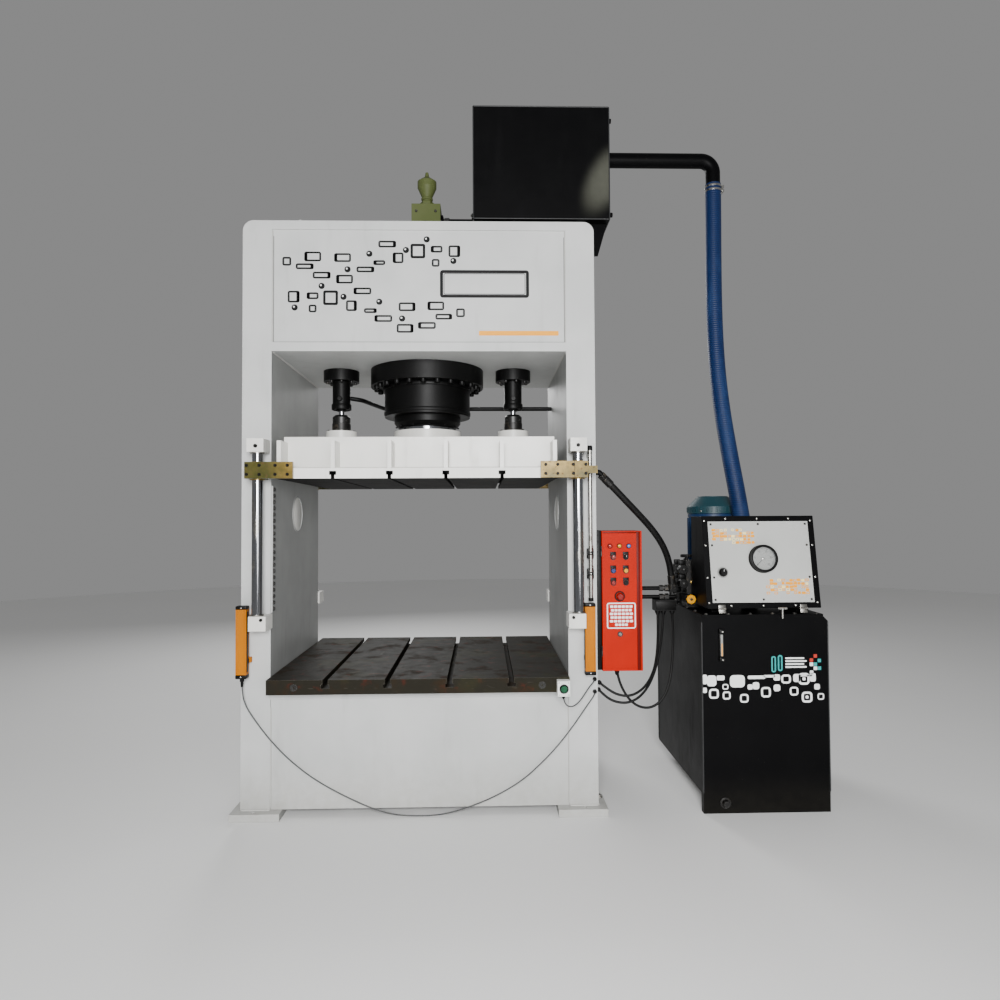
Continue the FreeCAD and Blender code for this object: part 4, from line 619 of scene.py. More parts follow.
class Shape:
    """A mesh in the making, in metres: each method adds to it, and piece() makes it an object."""

    def __init__(self):
        self.mesh = bmesh.new()
        self.verts, self.faces = self.mesh.verts, self.mesh.faces

    def join(self, first, second):
        """Faces between two rings of as many corners."""
        for k in range(len(first)):
            after = (k + 1) % len(first)
            self.faces.new((first[k], first[after], second[after], second[k]))

    def tube(self, rings):
        """Faces along a row of rings, closed at both ends."""
        self.faces.new(list(reversed(rings[0])))
        for first, second in zip(rings, rings[1:]):
            self.join(first, second)
        self.faces.new(rings[-1])

    def block(self, low, high, bevel=0.0, steps=2, place=None):
        """A block between two corners, with rounded edges where a bevel is given."""
        corners = bmesh.ops.create_cube(self.mesh, size=1.0)["verts"]
        for corner in corners:
            corner.co = Vector([low[i] + (corner.co[i] + 0.5) * (high[i] - low[i])
                                for i in range(3)])
            if place:
                corner.co = place @ corner.co
        if bevel:
            edges = list(dict.fromkeys(
                edge for corner in corners for edge in corner.link_edges))
            bmesh.ops.bevel(self.mesh, geom=edges, offset=bevel, segments=steps, profile=0.5,
                            affect="EDGES")

    def turned(self, profile, at, axis=UP, sides=32, place=None):
        """A turned shape: (radius, height) points from the bottom; closed where radius is 0."""
        move = Matrix.Translation(at) @ turn_to(axis)
        if place:
            move = place @ move
        rings = []
        for radius, height in profile:
            spots = around(sides, radius) if radius >= 1e-6 else [(0, 0)]
            rings.append([self.verts.new(move @ Vector((*spot, height))) for spot in spots])
        for low, high in zip(rings, rings[1:]):
            for k in range(sides):
                after = (k + 1) % sides
                corners = list(dict.fromkeys((
                    low[k % len(low)], low[after % len(low)], high[after % len(high)],
                    high[k % len(high)])))
                if len(corners) > 2:
                    self.faces.new(corners)

    def lathe(self, profile, at, axis=UP, sides=32, place=None):
        """A turned shape with its profile in millimetres."""
        self.turned([(radius / 1000, height / 1000) for radius, height in profile], at, axis,
                    sides, place)

    def ring(self, outer, inner, thick, at, axis=UP, sides=32, place=None):
        """A flat ring with small chamfers."""
        cut = min(thick, outer - inner) * 0.2
        self.turned([
            (inner, 0), (outer - cut, 0), (outer, cut), (outer, thick - cut), (outer - cut, thick),
            (inner + cut, thick), (inner, thick - cut), (inner, 0)], at, axis, sides, place)

    def hex_bolt(self, at, axis, size):
        """A washer and a hexagon head, chamfered; size is the thread's diameter."""
        self.turned([(0, 0), (size * 1.15, 0), (size * 1.15, size * 0.15),
                     (size * 0.8, size * 0.15)], at, axis, 20)
        self.turned([(size * 0.88, size * 0.14), (size * 0.88, size * 0.72),
                     (size * 0.74, size * 0.82), (0, size * 0.82)], at, axis, 6)

    def cap_screw(self, at, axis, size):
        """A socket screw: round head with its pocket."""
        pocket = size * 0.45
        self.turned([(size * 0.75, 0), (size * 0.75, size * 0.86), (size * 0.66, size),
                     (pocket, size)], at, axis, 18)
        self.turned([(pocket, size), (pocket * 0.95, size * 0.5), (0, size * 0.45)], at, axis, 18)

    def pan_screw(self, at, axis, size, place=None):
        """A low domed screw head."""
        self.turned([(size, 0), (size * 0.95, size * 0.35), (size * 0.6, size * 0.6),
                     (0, size * 0.68)], at, axis, 16, place)

    def union(self, at, axis, radius, long=0.03):
        """A pipe union: two hexagon nuts on a round collar."""
        self.turned([(radius, -long), (radius * 1.5, -long * 0.95), (radius * 1.5, -long * 0.2),
                     (radius * 1.25, -long * 0.15)], at, axis, 6)
        self.turned([(radius * 1.25, -long * 0.2), (radius * 1.25, long * 0.2)], at, axis, 24)
        self.turned([(radius * 1.25, long * 0.15), (radius * 1.6, long * 0.2),
                     (radius * 1.6, long * 0.9), (radius, long)], at, axis, 6)

    def bead(self, start, end, width, seed=1):
        """A rippled weld bead from one point to another, half sunk in its corner."""
        start, end = Vector(start), Vector(end)
        turn = turn_to((end - start).normalized())
        count = max(int((end - start).length / (width * 0.55)), 4)
        chance = random.Random(seed)
        rings = []
        for i in range(count + 1):
            size = width * (0.5 + 0.09 * (i % 2) + chance.uniform(-0.03, 0.03))
            if i in (0, count):
                size *= 0.35
            centre = start.lerp(end, i / count)
            rings.append([self.verts.new(centre + turn @ Vector((*spot, 0)))
                          for spot in around(7, size)])
        self.tube(rings)

    def pipe(self, points, radius, sides=16):
        """A rigid pipe along a line of points, with its bends given as points."""
        points = [Vector(p) for p in points]
        side = None
        rings = []
        for i, point in enumerate(points):
            ahead = (points[min(i + 1, len(points) - 1)] - points[max(i - 1, 0)]).normalized()
            side = side or ahead.orthogonal().normalized()
            side = (side - ahead * side.dot(ahead)).normalized()
            other = ahead.cross(side)
            rings.append([self.verts.new(point + (side * x + other * y))
                          for x, y in around(sides, radius)])
        self.tube(rings)

    def print(self, x, z, wide, high, radius, y, line=0.0, thick=0.0006, place=None):
        """A rounded rectangle of ink on a face across Y; a line width leaves it hollow."""
        outer = rounded_outline(wide, high, radius)
        levels = [(outer, 0), (outer, thick)]
        if line:
            inner = rounded_outline(wide - line * 2, high - line * 2, max(radius - line, 0.0002))
            levels += [(inner, thick), (inner, 0)]
        rings = []
        for outline, depth in levels:
            corners = [Vector((x + px, y - depth, z + pz)) for px, pz in outline]
            rings.append([self.verts.new(place @ c if place else c) for c in corners])
        for first, second in zip(rings, rings[1:]):
            self.join(first, second)
        if not line:
            self.faces.new(rings[1])

    def piece(self, name, finish, body="frame", smooth=35):
        """Turns the shape into an object that rides on a body."""
        bmesh.ops.recalc_face_normals(self.mesh, faces=self.faces)
        mesh = bpy.data.meshes.new(name)
        self.mesh.to_mesh(mesh)
        self.mesh.free()
        mesh.materials.append(finish)
        for face in mesh.polygons:
            face.use_smooth = True
        mesh.set_sharp_from_angle(angle=math.radians(smooth))
        made = bpy.data.objects.new(name, mesh)
        bpy.context.collection.objects.link(made)
        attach(made, body)


# ---- frame: welds, bolts, printed squares, lifting lugs ----

crown_low, crown_high = box_of("crown")
bed_low, bed_high = box_of("bed")
upright_low, upright_high = box_of("right_upright")
upright_inner = upright_low.x
upright_outer = upright_high.x
front_y = upright_low.y
rear_y = upright_high.y
PANEL_RECESS = 0.008
crown_decor_y = crown_low.y + PANEL_RECESS
WINDOW_Z = 1.649


def make_frame_welds():
    """Beads where crown and bed meet the uprights, and round the foot plates."""
    shape = Shape()
    width = 0.011
    seed = 1
    for y, inset in ((front_y, 0.008), (rear_y, -0.008)):
        for side in (-1, 1):
            x = side * upright_inner
            for low, high in ((crown_low.z, crown_high.z - 0.03), (bed_low.z, bed_high.z - 0.09)):
                shape.bead((x, y + inset, low + 0.01), (x, y + inset, high), width, seed)
                seed += 1
    for side in (-1, 1):
        x = side * upright_inner
        for z in (crown_low.z, bed_high.z):
            if z == crown_low.z:
                shape.bead((x, front_y + 0.02, z), (x, rear_y - 0.02, z), width, seed)
            seed += 1
        for y in (front_y, rear_y):
            outward = -1 if y < 0 else 1
            shape.bead((x, y + outward * 0.001, 0.04), (side * upright_outer, y + outward * 0.001,
                0.04), width * 1.3, seed)
            seed += 1
        shape.bead((side * upright_outer, front_y, 0.04), (side * upright_outer, -0.395, 0.04),
            width * 1.3, seed)
        shape.bead((side * upright_outer, rear_y, 0.04), (side * upright_outer, 0.395, 0.04),
            width * 1.3, seed + 1)
        seed += 2
    shape.piece("frame_weld_beads", FRAME_WELD, smooth=60)


def make_slide_strip():
    """The strip down the left upright's inner face, with its column of hexagon bolts."""
    strip = Shape()
    bolts = Shape()
    x = -upright_inner
    strip_y = front_y + 0.02
    strip.block((x, strip_y - 0.016, 1.105), (x + 0.008, strip_y + 0.022, 1.8), 0.0015)
    for k in range(20):
        z = 1.125 + 0.0345 * k
        bolts.hex_bolt((x + 0.008, strip_y + 0.003, z), RIGHT, 0.011)
    strip.piece("left_wear_strip", FRAME_PAINT)
    bolts.piece("left_wear_strip_bolts", DARK_STEEL)


def make_window_rims():
    """A turned lip round each of the round windows in the uprights."""
    shape = Shape()
    for side in (-1, 1):
        for x, axis in ((side * upright_inner, (-side, 0, 0)), (side * upright_outer,
                (side, 0, 0))):
            shape.ring(0.114, 0.1055, 0.003, (x, 0, WINDOW_Z), axis, 48)
    shape.piece("window_rims", FRAME_PAINT)
    # A thin white disc set just inside each window, in platen white.
    covers = Shape()
    for side in (-1, 1):
        x = side * (upright_inner + 0.003)
        covers.lathe([(105, 0), (105, 2), (103.5, 3), (0, 3)], (x, 0, WINDOW_Z), (-side, 0, 0), 48)
        covers.lathe([(0, 0), (105, 0)], (x, 0, WINDOW_Z), (-side, 0, 0), 48)
    covers.piece("window_white_discs", PLATEN_PAINT)


def make_crown_prints():
    """Loose rows of small rounded frames, tiles and dots on the crown's front panel, and a grey
    line of painted shadow along the panel's bottom and side edges.
    """
    frames = Shape()
    fills = Shape()
    shines = Shape()
    grid = 0.0055
    left = -0.763
    top = 3.087
    tiles = [(5, 7, 9, 9), (31, 2, 17, 10), (23, 12, 18, 6), (61, 3, 17, 9), (40, 21, 18, 7),
        (63, 25, 17, 9), (84, 15, 18, 6), (98, 8, 12, 5), (106, -11, 18, 7), (117, 3, 11, 11),
        (137, -4, 15, 15), (156, -6, 12, 7), (174, -4, 12, 12), (155, 8, 8, 8), (12, 43, 12, 12),
        (31, 42, 12, 7), (49, 44, 15, 15), (31, 55, 8, 8), (70, 52, 11, 11), (81, 37, 18, 7),
        (89, 57, 13, 5), (102, 65, 18, 7), (126, 53, 17, 9), (155, 52, 17, 9), (163, 63, 17, 6),
        (180, 59, 9, 9), (124, 75, 17, 9), (146, 72, 18, 7)]
    for i, (across, down, wide, high) in enumerate(tiles):
        x, z = left + across * grid, top - down * grid
        heavy = wide == 15
        frames.print(x, z, wide * grid, high * grid, 0.011, crown_decor_y,
            0.014 if heavy else 0.0088)
        if not heavy and wide > 10:
            lean = -1 if i % 2 else 1
            fills.print(x + lean * (wide * grid / 2 - 0.009), z, 0.018, high * grid * 0.86, 0.005,
                crown_decor_y)
        frames.print(x, z, (wide - 3.4) * grid, (high - 3.0) * grid, 0.005, crown_decor_y, 0.0022)
    dots = [(88, -1), (66, 15), (40, 32), (62, 43), (98, 48), (121, 65), (125, -5), (146, -16),
        (173, 6), (13, 54)]
    for across, down in dots:
        x, z = left + across * grid, top - down * grid
        fills.print(x, z, 0.035, 0.035, 0.0165, crown_decor_y)
        shines.print(x - 0.004, z + 0.004, 0.009, 0.009, 0.0042, crown_decor_y - 0.0004)
    frames.piece("crown_printed_frames", INK_BLACK)
    fills.piece("crown_printed_dots", INK_BLACK)
    shines.piece("crown_printed_highlights", INK_WHITE)
    plate = Shape()
    plate.print(0.362, 2.925, 0.498, 0.156, 0.016, crown_decor_y, 0.0175)
    plate.print(0.362, 2.925, 0.456, 0.118, 0.008, crown_decor_y, 0.0035)
    plate.piece("crown_blank_name_frame", INK_BLACK)
    stripe = Shape()
    stripe.print(0.552, 2.648, 0.445, 0.026, 0.004, crown_decor_y)
    # Painted shadow: thin grey strips along the panel's bottom and side edges, standing in for the
    # shadow at the plate's edge.
    edge_shadow = Shape()
    edge_shadow.block((-0.805, crown_decor_y - 0.0006, 2.594), (0.805, crown_decor_y, 2.599))
    edge_shadow.block((-0.809, crown_decor_y - 0.0006, 2.594), (-0.805, crown_decor_y, 3.19))
    edge_shadow.block((0.805, crown_decor_y - 0.0006, 2.594), (0.809, crown_decor_y, 3.19))
    edge_shadow.piece("crown_panel_edge_painted_shadow", PANEL_EDGE_SHADOW_GREY)
    stripe.piece("crown_amber_stripe", INK_AMBER)


def make_lifting_lugs():
    """Two plates with a lifting eye on the crown's top, welded across its depth."""
    lugs = Shape()
    beads = Shape()
    top = crown_high.z
    for i, (x, y) in enumerate(((-0.72, -0.3), (-0.72, 0.3))):
        profile = [(-0.07, 0), (0.07, 0), (0.07, 0.03), (0.045, 0.085), (0.0, 0.105),
            (-0.045, 0.085), (-0.07, 0.03)]
        faces = []
        for dy in (-0.011, 0.011):
            faces.append([lugs.verts.new((x + px, y + dy, top + pz)) for px, pz in profile])
        lugs.faces.new(faces[0])
        lugs.faces.new(list(reversed(faces[1])))
        for k in range(len(profile)):
            after = (k + 1) % len(profile)
            lugs.faces.new((faces[0][k], faces[0][after], faces[1][after], faces[1][k]))
        lugs.ring(0.031, 0.019, 0.005, (x, y - 0.011, top + 0.058), FRONT, 28)
        lugs.ring(0.031, 0.019, 0.005, (x, y + 0.011, top + 0.058), REAR, 28)
        for dy in (-0.012, 0.012):
            beads.bead((x - 0.07, y + dy, top), (x + 0.07, y + dy, top), 0.01, 40 + i)
    lugs.piece("crown_lifting_lugs", FRAME_PAINT)
    beads.piece("crown_lifting_lug_beads", FRAME_WELD, smooth=60)


def make_anchor_studs():
    """A levelling screw with its lock nut on each foot plate, inside the anchor hole."""
    shape = Shape()
    for side_x in (-1, 1):
        for side_y in (-1, 1):
            at = (side_x * 0.993, side_y * 0.43, 0.04)
            shape.hex_bolt(at, UP, 0.018)
    shape.piece("foot_levelling_screws", STEEL)


make_frame_welds()
make_slide_strip()
make_window_rims()
make_crown_prints()
make_lifting_lugs()
make_anchor_studs()


# ---- cylinders ----

gland_low = box_of("cylinder_gland")[0]
PULLBACK_X = 0.541


def make_cylinder_fittings():
    """Screws under the flange and gland, the barrel's bands, and the ram seat's screws."""
    screws = Shape()
    for x, y in around(24, 0.318):
        screws.cap_screw((x, y, 2.439), DOWN, 0.022)
    for x, y in around(12, 0.188, 0.13):
        screws.cap_screw((x * 1.03, y * 1.03, gland_low.z + 0.026 * 0.2), DOWN, 0.008)
    screws.piece("cylinder_flange_screws", CYLINDER_BLACK)
    bands = Shape()
    for z, grow, high in ((2.262, 0.004, 0.022), (2.415, 0.01, 0.024)):
        bands.turned([(0.262, z), (0.267 + grow - 0.002, z), (0.267 + grow, z + 0.003),
            (0.267 + grow, z + high - 0.003), (0.265 + grow, z + high), (0.262, z + high)],
            (0, 0, 0), UP, 72)
    bands.piece("cylinder_barrel_bands", CYLINDER_BLACK)
    wiper = Shape()
    wiper.ring(0.181, 0.1708, 0.006, (0, 0, gland_low.z), DOWN, 64)
    wiper.piece("ram_wiper_ring", BLACK_PLASTIC)
    seat = Shape()
    for x, y in around(12, 0.19, 0.2):
        seat.ring(0.01, 0.0045, 0.0012, (x, y, 2.159), UP, 20)
        seat.lathe([(4.5, 0), (4.5, 0.4), (0, 0.4)], (x, y, 2.159), UP, 6)
    for side in (-1, 1):
        for x, y in around(6, 0.078, 0.3):
            seat.cap_screw((side * PULLBACK_X + x, y, 2.164), UP, 0.01)
    seat.piece("platen_seat_screws", DARK_STEEL, "platen")


def make_pullback_fittings():
    """Flange screws, end caps and oil ports of the two small cylinders."""
    screws = Shape()
    caps = Shape()
    for side in (-1, 1):
        x = side * PULLBACK_X
        for dx, dy in around(8, 0.086, 0.2):
            screws.cap_screw((x + dx, dy, 2.477), DOWN, 0.012)
        caps.lathe([(54, 2301), (60, 2303), (61.5, 2307), (61.5, 2334), (60, 2337), (54, 2338)],
            (x, 0, 0), UP, 40)
        caps.lathe([(18, 2292.5), (27, 2293.5), (32, 2302), (32, 2307)], (x, 0, 0), UP, 32)
        caps.lathe([(0, 52), (17, 52), (17, 66), (14, 68), (0, 68)], (x, 0, 2.366), (0, -1, 0), 6)
    screws.piece("pullback_flange_screws", DARK_STEEL)
    caps.piece("pullback_caps", CYLINDER_BLACK)
    nuts = Shape()
    for side in (-1, 1):
        x = side * PULLBACK_X
        nuts.lathe([(55.5, 2176), (57.5, 2178), (57.5, 2214), (55.5, 2216)], (x, 0, 0), UP, 40)
        for k in range(4):
            a = math.pi / 4 + k * math.pi / 2
            nuts.lathe([(6.5, 52), (6.5, 61), (4.5, 62.5), (0, 62.5)], (x, 0, 2.232),
                (math.cos(a), math.sin(a), 0), 12)
    nuts.piece("pullback_coupling_bands", DARK_STEEL, "platen")


make_cylinder_fittings()
make_pullback_fittings()


# ---- platen, guides and light curtains ----

plate_high = box_of("platen_plate")[1]
ROD_X, ROD_Y = 0.865, 0.615
CURTAINS = ((-1, -0.951), (1, 0.927))
platen_low, platen_high = box_of("platen_box")


def make_platen_details():
    """Weld beads between the platen's box and its plate."""
    beads = Shape()
    seed = 60
    for y, outward in ((platen_low.y, -1), (platen_high.y, 1)):
        edge = y - outward * 0.004
        for x0, x1 in ((-0.74, -0.46), (-0.44, -0.16), (-0.14, 0.14), (0.16, 0.44), (0.46, 0.74)):
            beads.bead((x0, edge - outward * 0.012, plate_high.z + 0.001),
                (x1, edge - outward * 0.012, plate_high.z + 0.001), 0.009, seed)
            seed += 1
    for side in (-1, 1):
        beads.bead((side * platen_high.x, -0.64, plate_high.z), (side * platen_high.x, 0.64,
            plate_high.z), 0.009, seed + side)
    beads.piece("platen_weld_beads", PLATEN_WELD, "platen", smooth=60)


def make_arm_bolts():
    """Eight bolts on each guide arm, the bush ends, and the grease nipples."""
    bolts = Shape()
    bushes = Shape()
    nipples = Shape()
    for side_x in (-1, 1):
        for side_y in (-1, 1):
            y = side_y * 0.695
            axis = (0, side_y, 0)
            for part in (0.682, 0.746, 0.829, 0.896):
                for z in (1.853, 1.901):
                    bolts.cap_screw((side_x * part, y, z), axis, 0.0105)
            at = (side_x * ROD_X, side_y * ROD_Y, 0)
            for z, way in ((1.92, UP), (1.832, DOWN)):
                bushes.ring(0.0395, 0.0292, 0.005, (at[0], at[1], z), way, 40)
            if side_y < 0:
                continue
            nipples.lathe([(6, 0), (6, 4), (3.5, 6), (3.5, 12), (4.5, 14), (2, 18), (0, 18)],
                (side_x * ROD_X, y, 1.876), axis, 12)
    bolts.block((0.836, -0.6954, 1.8325), (0.8385, -0.6946, 1.9195))
    bolts.piece("guide_arm_bolts", CYLINDER_BLACK, "platen")
    bushes.piece("guide_bush_rings", BRASS, "platen")
    nipples.piece("guide_grease_nipples", BRIGHT_STEEL, "platen")


def make_rod_block_bolts():
    """Socket screws in the rod blocks, and collars where the rods leave them."""
    bolts = Shape()
    collars = Shape()
    for side_x in (-1, 1):
        for side_y in (-1, 1):
            y = side_y * 0.66
            axis = (0, side_y, 0)
            bolts.cap_screw((side_x * 0.861, y, 2.008), axis, 0.013)
            bolts.cap_screw((side_x * 0.829, y, 1.084), axis, 0.011)
            for z, way in ((1.102, UP), (1.976, DOWN)):
                collars.ring(0.037, 0.0286, 0.007, (side_x * ROD_X, side_y * ROD_Y, z), way, 40)
    bolts.piece("rod_block_bolts", CYLINDER_BLACK)
    collars.piece("guide_rod_collars", STEEL)


def make_curtain_details():
    """Black end caps, the dark lens strip down the inner face, boots and bracket screws."""
    caps = Shape()
    lenses = Shape()
    screws = Shape()
    ribs = Shape()
    for side, centre in CURTAINS:
        left, right = centre - 0.0295, centre + 0.0295
        for low, high in ((0.7635, 0.786), (1.132, 1.1515)):
            caps.block((left, -0.6135, low), (right, -0.5645, high), 0.004)
        inner = centre - side * 0.028
        near, far = sorted((inner, inner - side * 0.0018))
        lenses.block((near, -0.601, 0.797), (far, -0.577, 1.121), 0.0006)
        for x in (centre - 0.019, centre + 0.019):
            ribs.block((x - 0.0018, -0.6138, 0.788), (x + 0.0018, -0.6115, 1.13), 0.0007)
        for z in (0.7745, 1.142):
            screws.pan_screw((centre, -0.6133, z), FRONT, 0.0045)
    for z in (0.852, 1.064):
        for side, centre in CURTAINS:
            caps.block((centre - 0.0305, -0.588, z - 0.013), (centre + 0.0305, -0.566, z + 0.013),
                0.002)
    x, y, top = CURTAINS[0][1], -0.59, 0.765
    caps.lathe([(3.6, -48), (6.8, -46), (8, -20), (11.5, -18), (11.5, 0)], (x, y, top), UP, 24)
    caps.piece("light_curtain_caps", BLACK_PLASTIC)
    lenses.piece("light_curtain_lenses", CYLINDER_BLACK)
    ribs.piece("light_curtain_edges", CURTAIN_YELLOW)
    screws.piece("light_curtain_screws", BRIGHT_STEEL)


def make_limit_switches():
    """Rod cap, two clamped switches with roller levers behind the striker's path, and clips."""
    blacks = Shape()
    clamps = Shape()
    rollers = Shape()
    x, y = 0.933, -0.6
    blacks.lathe([(14.5, 0), (14.5, 20), (11.5, 26), (0, 26)], (x, y, 1.985), UP, 24)
    blacks.lathe([(14.5, 0), (14.5, 16), (11.2, 18)], (x, y, 1.163), UP, 24)
    for z in (1.422, 1.312):
        clamps.block((x - 0.016, y - 0.015, z - 0.009), (x + 0.014, y + 0.02, z + 0.009), 0.002)
        blacks.block((x - 0.016, y + 0.018, z - 0.03), (x + 0.02, y + 0.044, z + 0.026), 0.003)
        rollers.lathe([(0, -5), (7, -5), (8, -3), (8, 3), (7, 5), (0, 5)],
            (x + 0.014, y + 0.031, z + 0.033), RIGHT, 20)
        rollers.pan_screw((x + 0.02, y + 0.031, z - 0.014), RIGHT, 0.004)
        rollers.pan_screw((x + 0.02, y + 0.031, z + 0.01), RIGHT, 0.004)
        rollers.cap_screw((x - 0.002, y - 0.015, z), FRONT, 0.005)
        blacks.lathe([(4, -22), (6.5, -20), (6.5, 0)], (x + 0.002, y + 0.031, z - 0.03), UP, 18)
    blacks.piece("limit_switch_bodies", BLACK_PLASTIC)
    clamps.piece("limit_switch_clamps", BLACK_PLASTIC)
    rollers.piece("limit_switch_rollers", BRIGHT_STEEL)


make_platen_details()
make_arm_bolts()
make_rod_block_bolts()
make_curtain_details()
make_limit_switches()


# ---- bolster and start button ----

def make_bolster_details():
    """Rubbed lips along the slot ends and corner lifting holes."""
    lips = Shape()
    plugs = Shape()
    low, high = box_of("bolster")
    for y, outward in ((low.y, -1), (high.y, 1)):
        for k in range(4):
            x = -0.495 + 0.33 * k
            for side in (-1, 1):
                edge = x + side * 0.0165
                lips.block((edge - 0.0022, min(y, y + outward * 0.001), high.z - 0.025),
                    (edge + 0.0022, max(y, y + outward * 0.001), high.z - 0.0006), 0.0004)
        for x in (-0.66, 0.66):
            plugs.ring(0.019, 0.0125, 0.002, (x, y, high.z - 0.04), (0, outward, 0), 28)
            plugs.lathe([(12.5, 0.8), (6, 0.8), (5.5, -1), (0, -1)], (x, y, high.z - 0.04),
                (0, outward, 0), 6)
    lips.piece("bolster_slot_lips", BOLSTER_IRON)
    plugs.piece("bolster_lifting_plugs", DARK_STEEL)


def make_start_button_details():
    ring = Shape()
    screws = Shape()
    low, high = box_of("button_box")
    button_low, button_high = box_of("green_button")
    x = (button_low.x + button_high.x) / 2
    z = (button_low.z + button_high.z) / 2
    ring.ring(0.0245, 0.0178, 0.006, (x, low.y, z), FRONT, 40)
    for dx in (-0.026, 0.026):
        for height in (low.z + 0.008, high.z - 0.008):
            screws.pan_screw((x + dx, low.y, height), FRONT, 0.0035)
    ring.piece("start_button_ring", BLACK_PLASTIC)
    screws.piece("start_button_box_screws", BRIGHT_STEEL)
    gland = Shape()
    gland.lathe([(10, 0), (10, -5), (8.5, -6), (8.5, -12), (5.5, -16), (4.2, -18)],
        (0.77, -0.674, low.z), UP, 24)
    gland.piece("start_button_gland", BLACK_PLASTIC)


make_bolster_details()
make_start_button_details()


# ---- overhead tank, its pipe and the prefill valve ----

tank_low, tank_high = box_of("overhead_tank")
outlet_z = 3.912


def make_tank_details():
    """Seam beads, lid with its screws and filler, and brackets' bolts."""
    beads = Shape()
    seed = 100
    for x in (tank_low.x, tank_high.x):
        for y in (tank_low.y, tank_high.y):
            beads.bead((x, y, tank_low.z), (x, y, tank_high.z), 0.007, seed)
            seed += 1
    for z in (tank_low.z, tank_high.z):
        for y in (tank_low.y, tank_high.y):
            beads.bead((tank_low.x, y, z), (tank_high.x, y, z), 0.007, seed)
            seed += 1
        for x in (tank_low.x, tank_high.x):
            beads.bead((x, tank_low.y, z), (x, tank_high.y, z), 0.007, seed)
            seed += 1
    beads.piece("tank_seam_beads", TANK_WELD, smooth=60)
    bolts = Shape()
    for y in (-0.26, 0.26):
        for x, z in ((0.997, 3.245), (0.997, 3.3), (1.01, 3.352)):
            bolts.hex_bolt((x, y, z), (0, -1 if y < 0 else 1, 0), 0.012)
    for side in (-1, 1):
        for x in (0.36, 0.62, 0.86):
            bolts.hex_bolt((x, side * 0.26, 3.3), (0, side, 0), 0.014)
    bolts.piece("tank_stand_bolts", DARK_STEEL)
    flange = Shape()
    for dy, dz in around(8, 0.064, 0.39):
        flange.hex_bolt((1.134, dy, outlet_z + dz), RIGHT, 0.011)
    flange.ring(0.058, 0.046, 0.01, (1.134, 0, outlet_z), RIGHT, 40)
    flange.piece("tank_outlet_bolts", DARK_STEEL)
    pads = Shape()
    pads.ring(0.092, 0.046, 0.005, (tank_high.x, 0, outlet_z), RIGHT, 48)
    x, y, z = tank_high.x, -0.235, 3.452
    pads.lathe([(24, 0), (24, 10), (18, 12)], (x, y, z), RIGHT, 28)
    pads.lathe([(15.5, 11), (15.5, 26), (13, 29), (0, 29)], (x, y, z), RIGHT, 6)
    pads.lathe([(24, 0), (24, 10), (18, 12)], (x, -0.235, 4.03), RIGHT, 28)
    pads.lathe([(15.5, 11), (15.5, 24), (0, 24)], (x, -0.235, 4.03), RIGHT, 6)
    pads.piece("tank_ports", TANK_BLACK)
    clamp = Shape()
    for z in (3.7395, 3.713):
        clamp.ring(0.053, 0.0498, 0.013, (1.8398, -0.0008, z - 0.0065), UP, 48)
        for side in (-1, 1):
            clamp.block((1.885, side * 0.009 - 0.0025, z - 0.0065), (1.908, side * 0.009 + 0.0025,
                z + 0.0065), 0.001)
        clamp.lathe([(4, -24), (4, 20)], (1.8975, 0, z), REAR, 12)
        clamp.lathe([(7.5, 18), (7.5, 26), (0, 26)], (1.8975, 0, z), REAR, 6)
        clamp.lathe([(7.5, 18), (7.5, 26), (0, 26)], (1.8975, 0, z), FRONT, 6)
    clamp.piece("hose_clamp_upper", BRIGHT_STEEL)
    foot = Shape()
    for z in (1.222, 1.252):
        foot.ring(0.053, 0.0498, 0.013, (1.9655, -0.1795, z - 0.0065), (0.035, 0, 1), 48)
        for side in (-1, 1):
            foot.block((1.9655 + side * 0.009 - 0.0025, -0.25, z - 0.0065),
                (1.9655 + side * 0.009 + 0.0025, -0.229, z + 0.0065), 0.001)
        foot.lathe([(4, -20), (4, 20)], (1.9655, -0.241, z), RIGHT, 12)
        foot.lathe([(7.5, 18), (7.5, 26), (0, 26)], (1.9655, -0.241, z), RIGHT, 6)
    foot.piece("hose_clamp_lower", BRIGHT_STEEL)
    lid = Shape()
    lid.block((0.42, -0.18, tank_high.z - 0.008), (0.78, 0.18, tank_high.z + 0.006), 0.002)
    lid.piece("tank_inspection_lid", TANK_BLACK)
    lid_bolts = Shape()
    for k in range(4):
        for y in (-0.16, 0.16):
            lid_bolts.hex_bolt((0.44 + k * 0.1067, y, tank_high.z + 0.006), UP, 0.008)
    lid_bolts.piece("tank_lid_bolts", DARK_STEEL)
    filler = Shape()
    filler.lathe([(45, 0), (45, 8), (36, 10), (36, 30), (42, 32), (42, 52), (38, 58), (0, 60)],
        (0.96, 0.1, tank_high.z), UP, 40)
    filler.piece("tank_filler_cap", BRIGHT_STEEL)


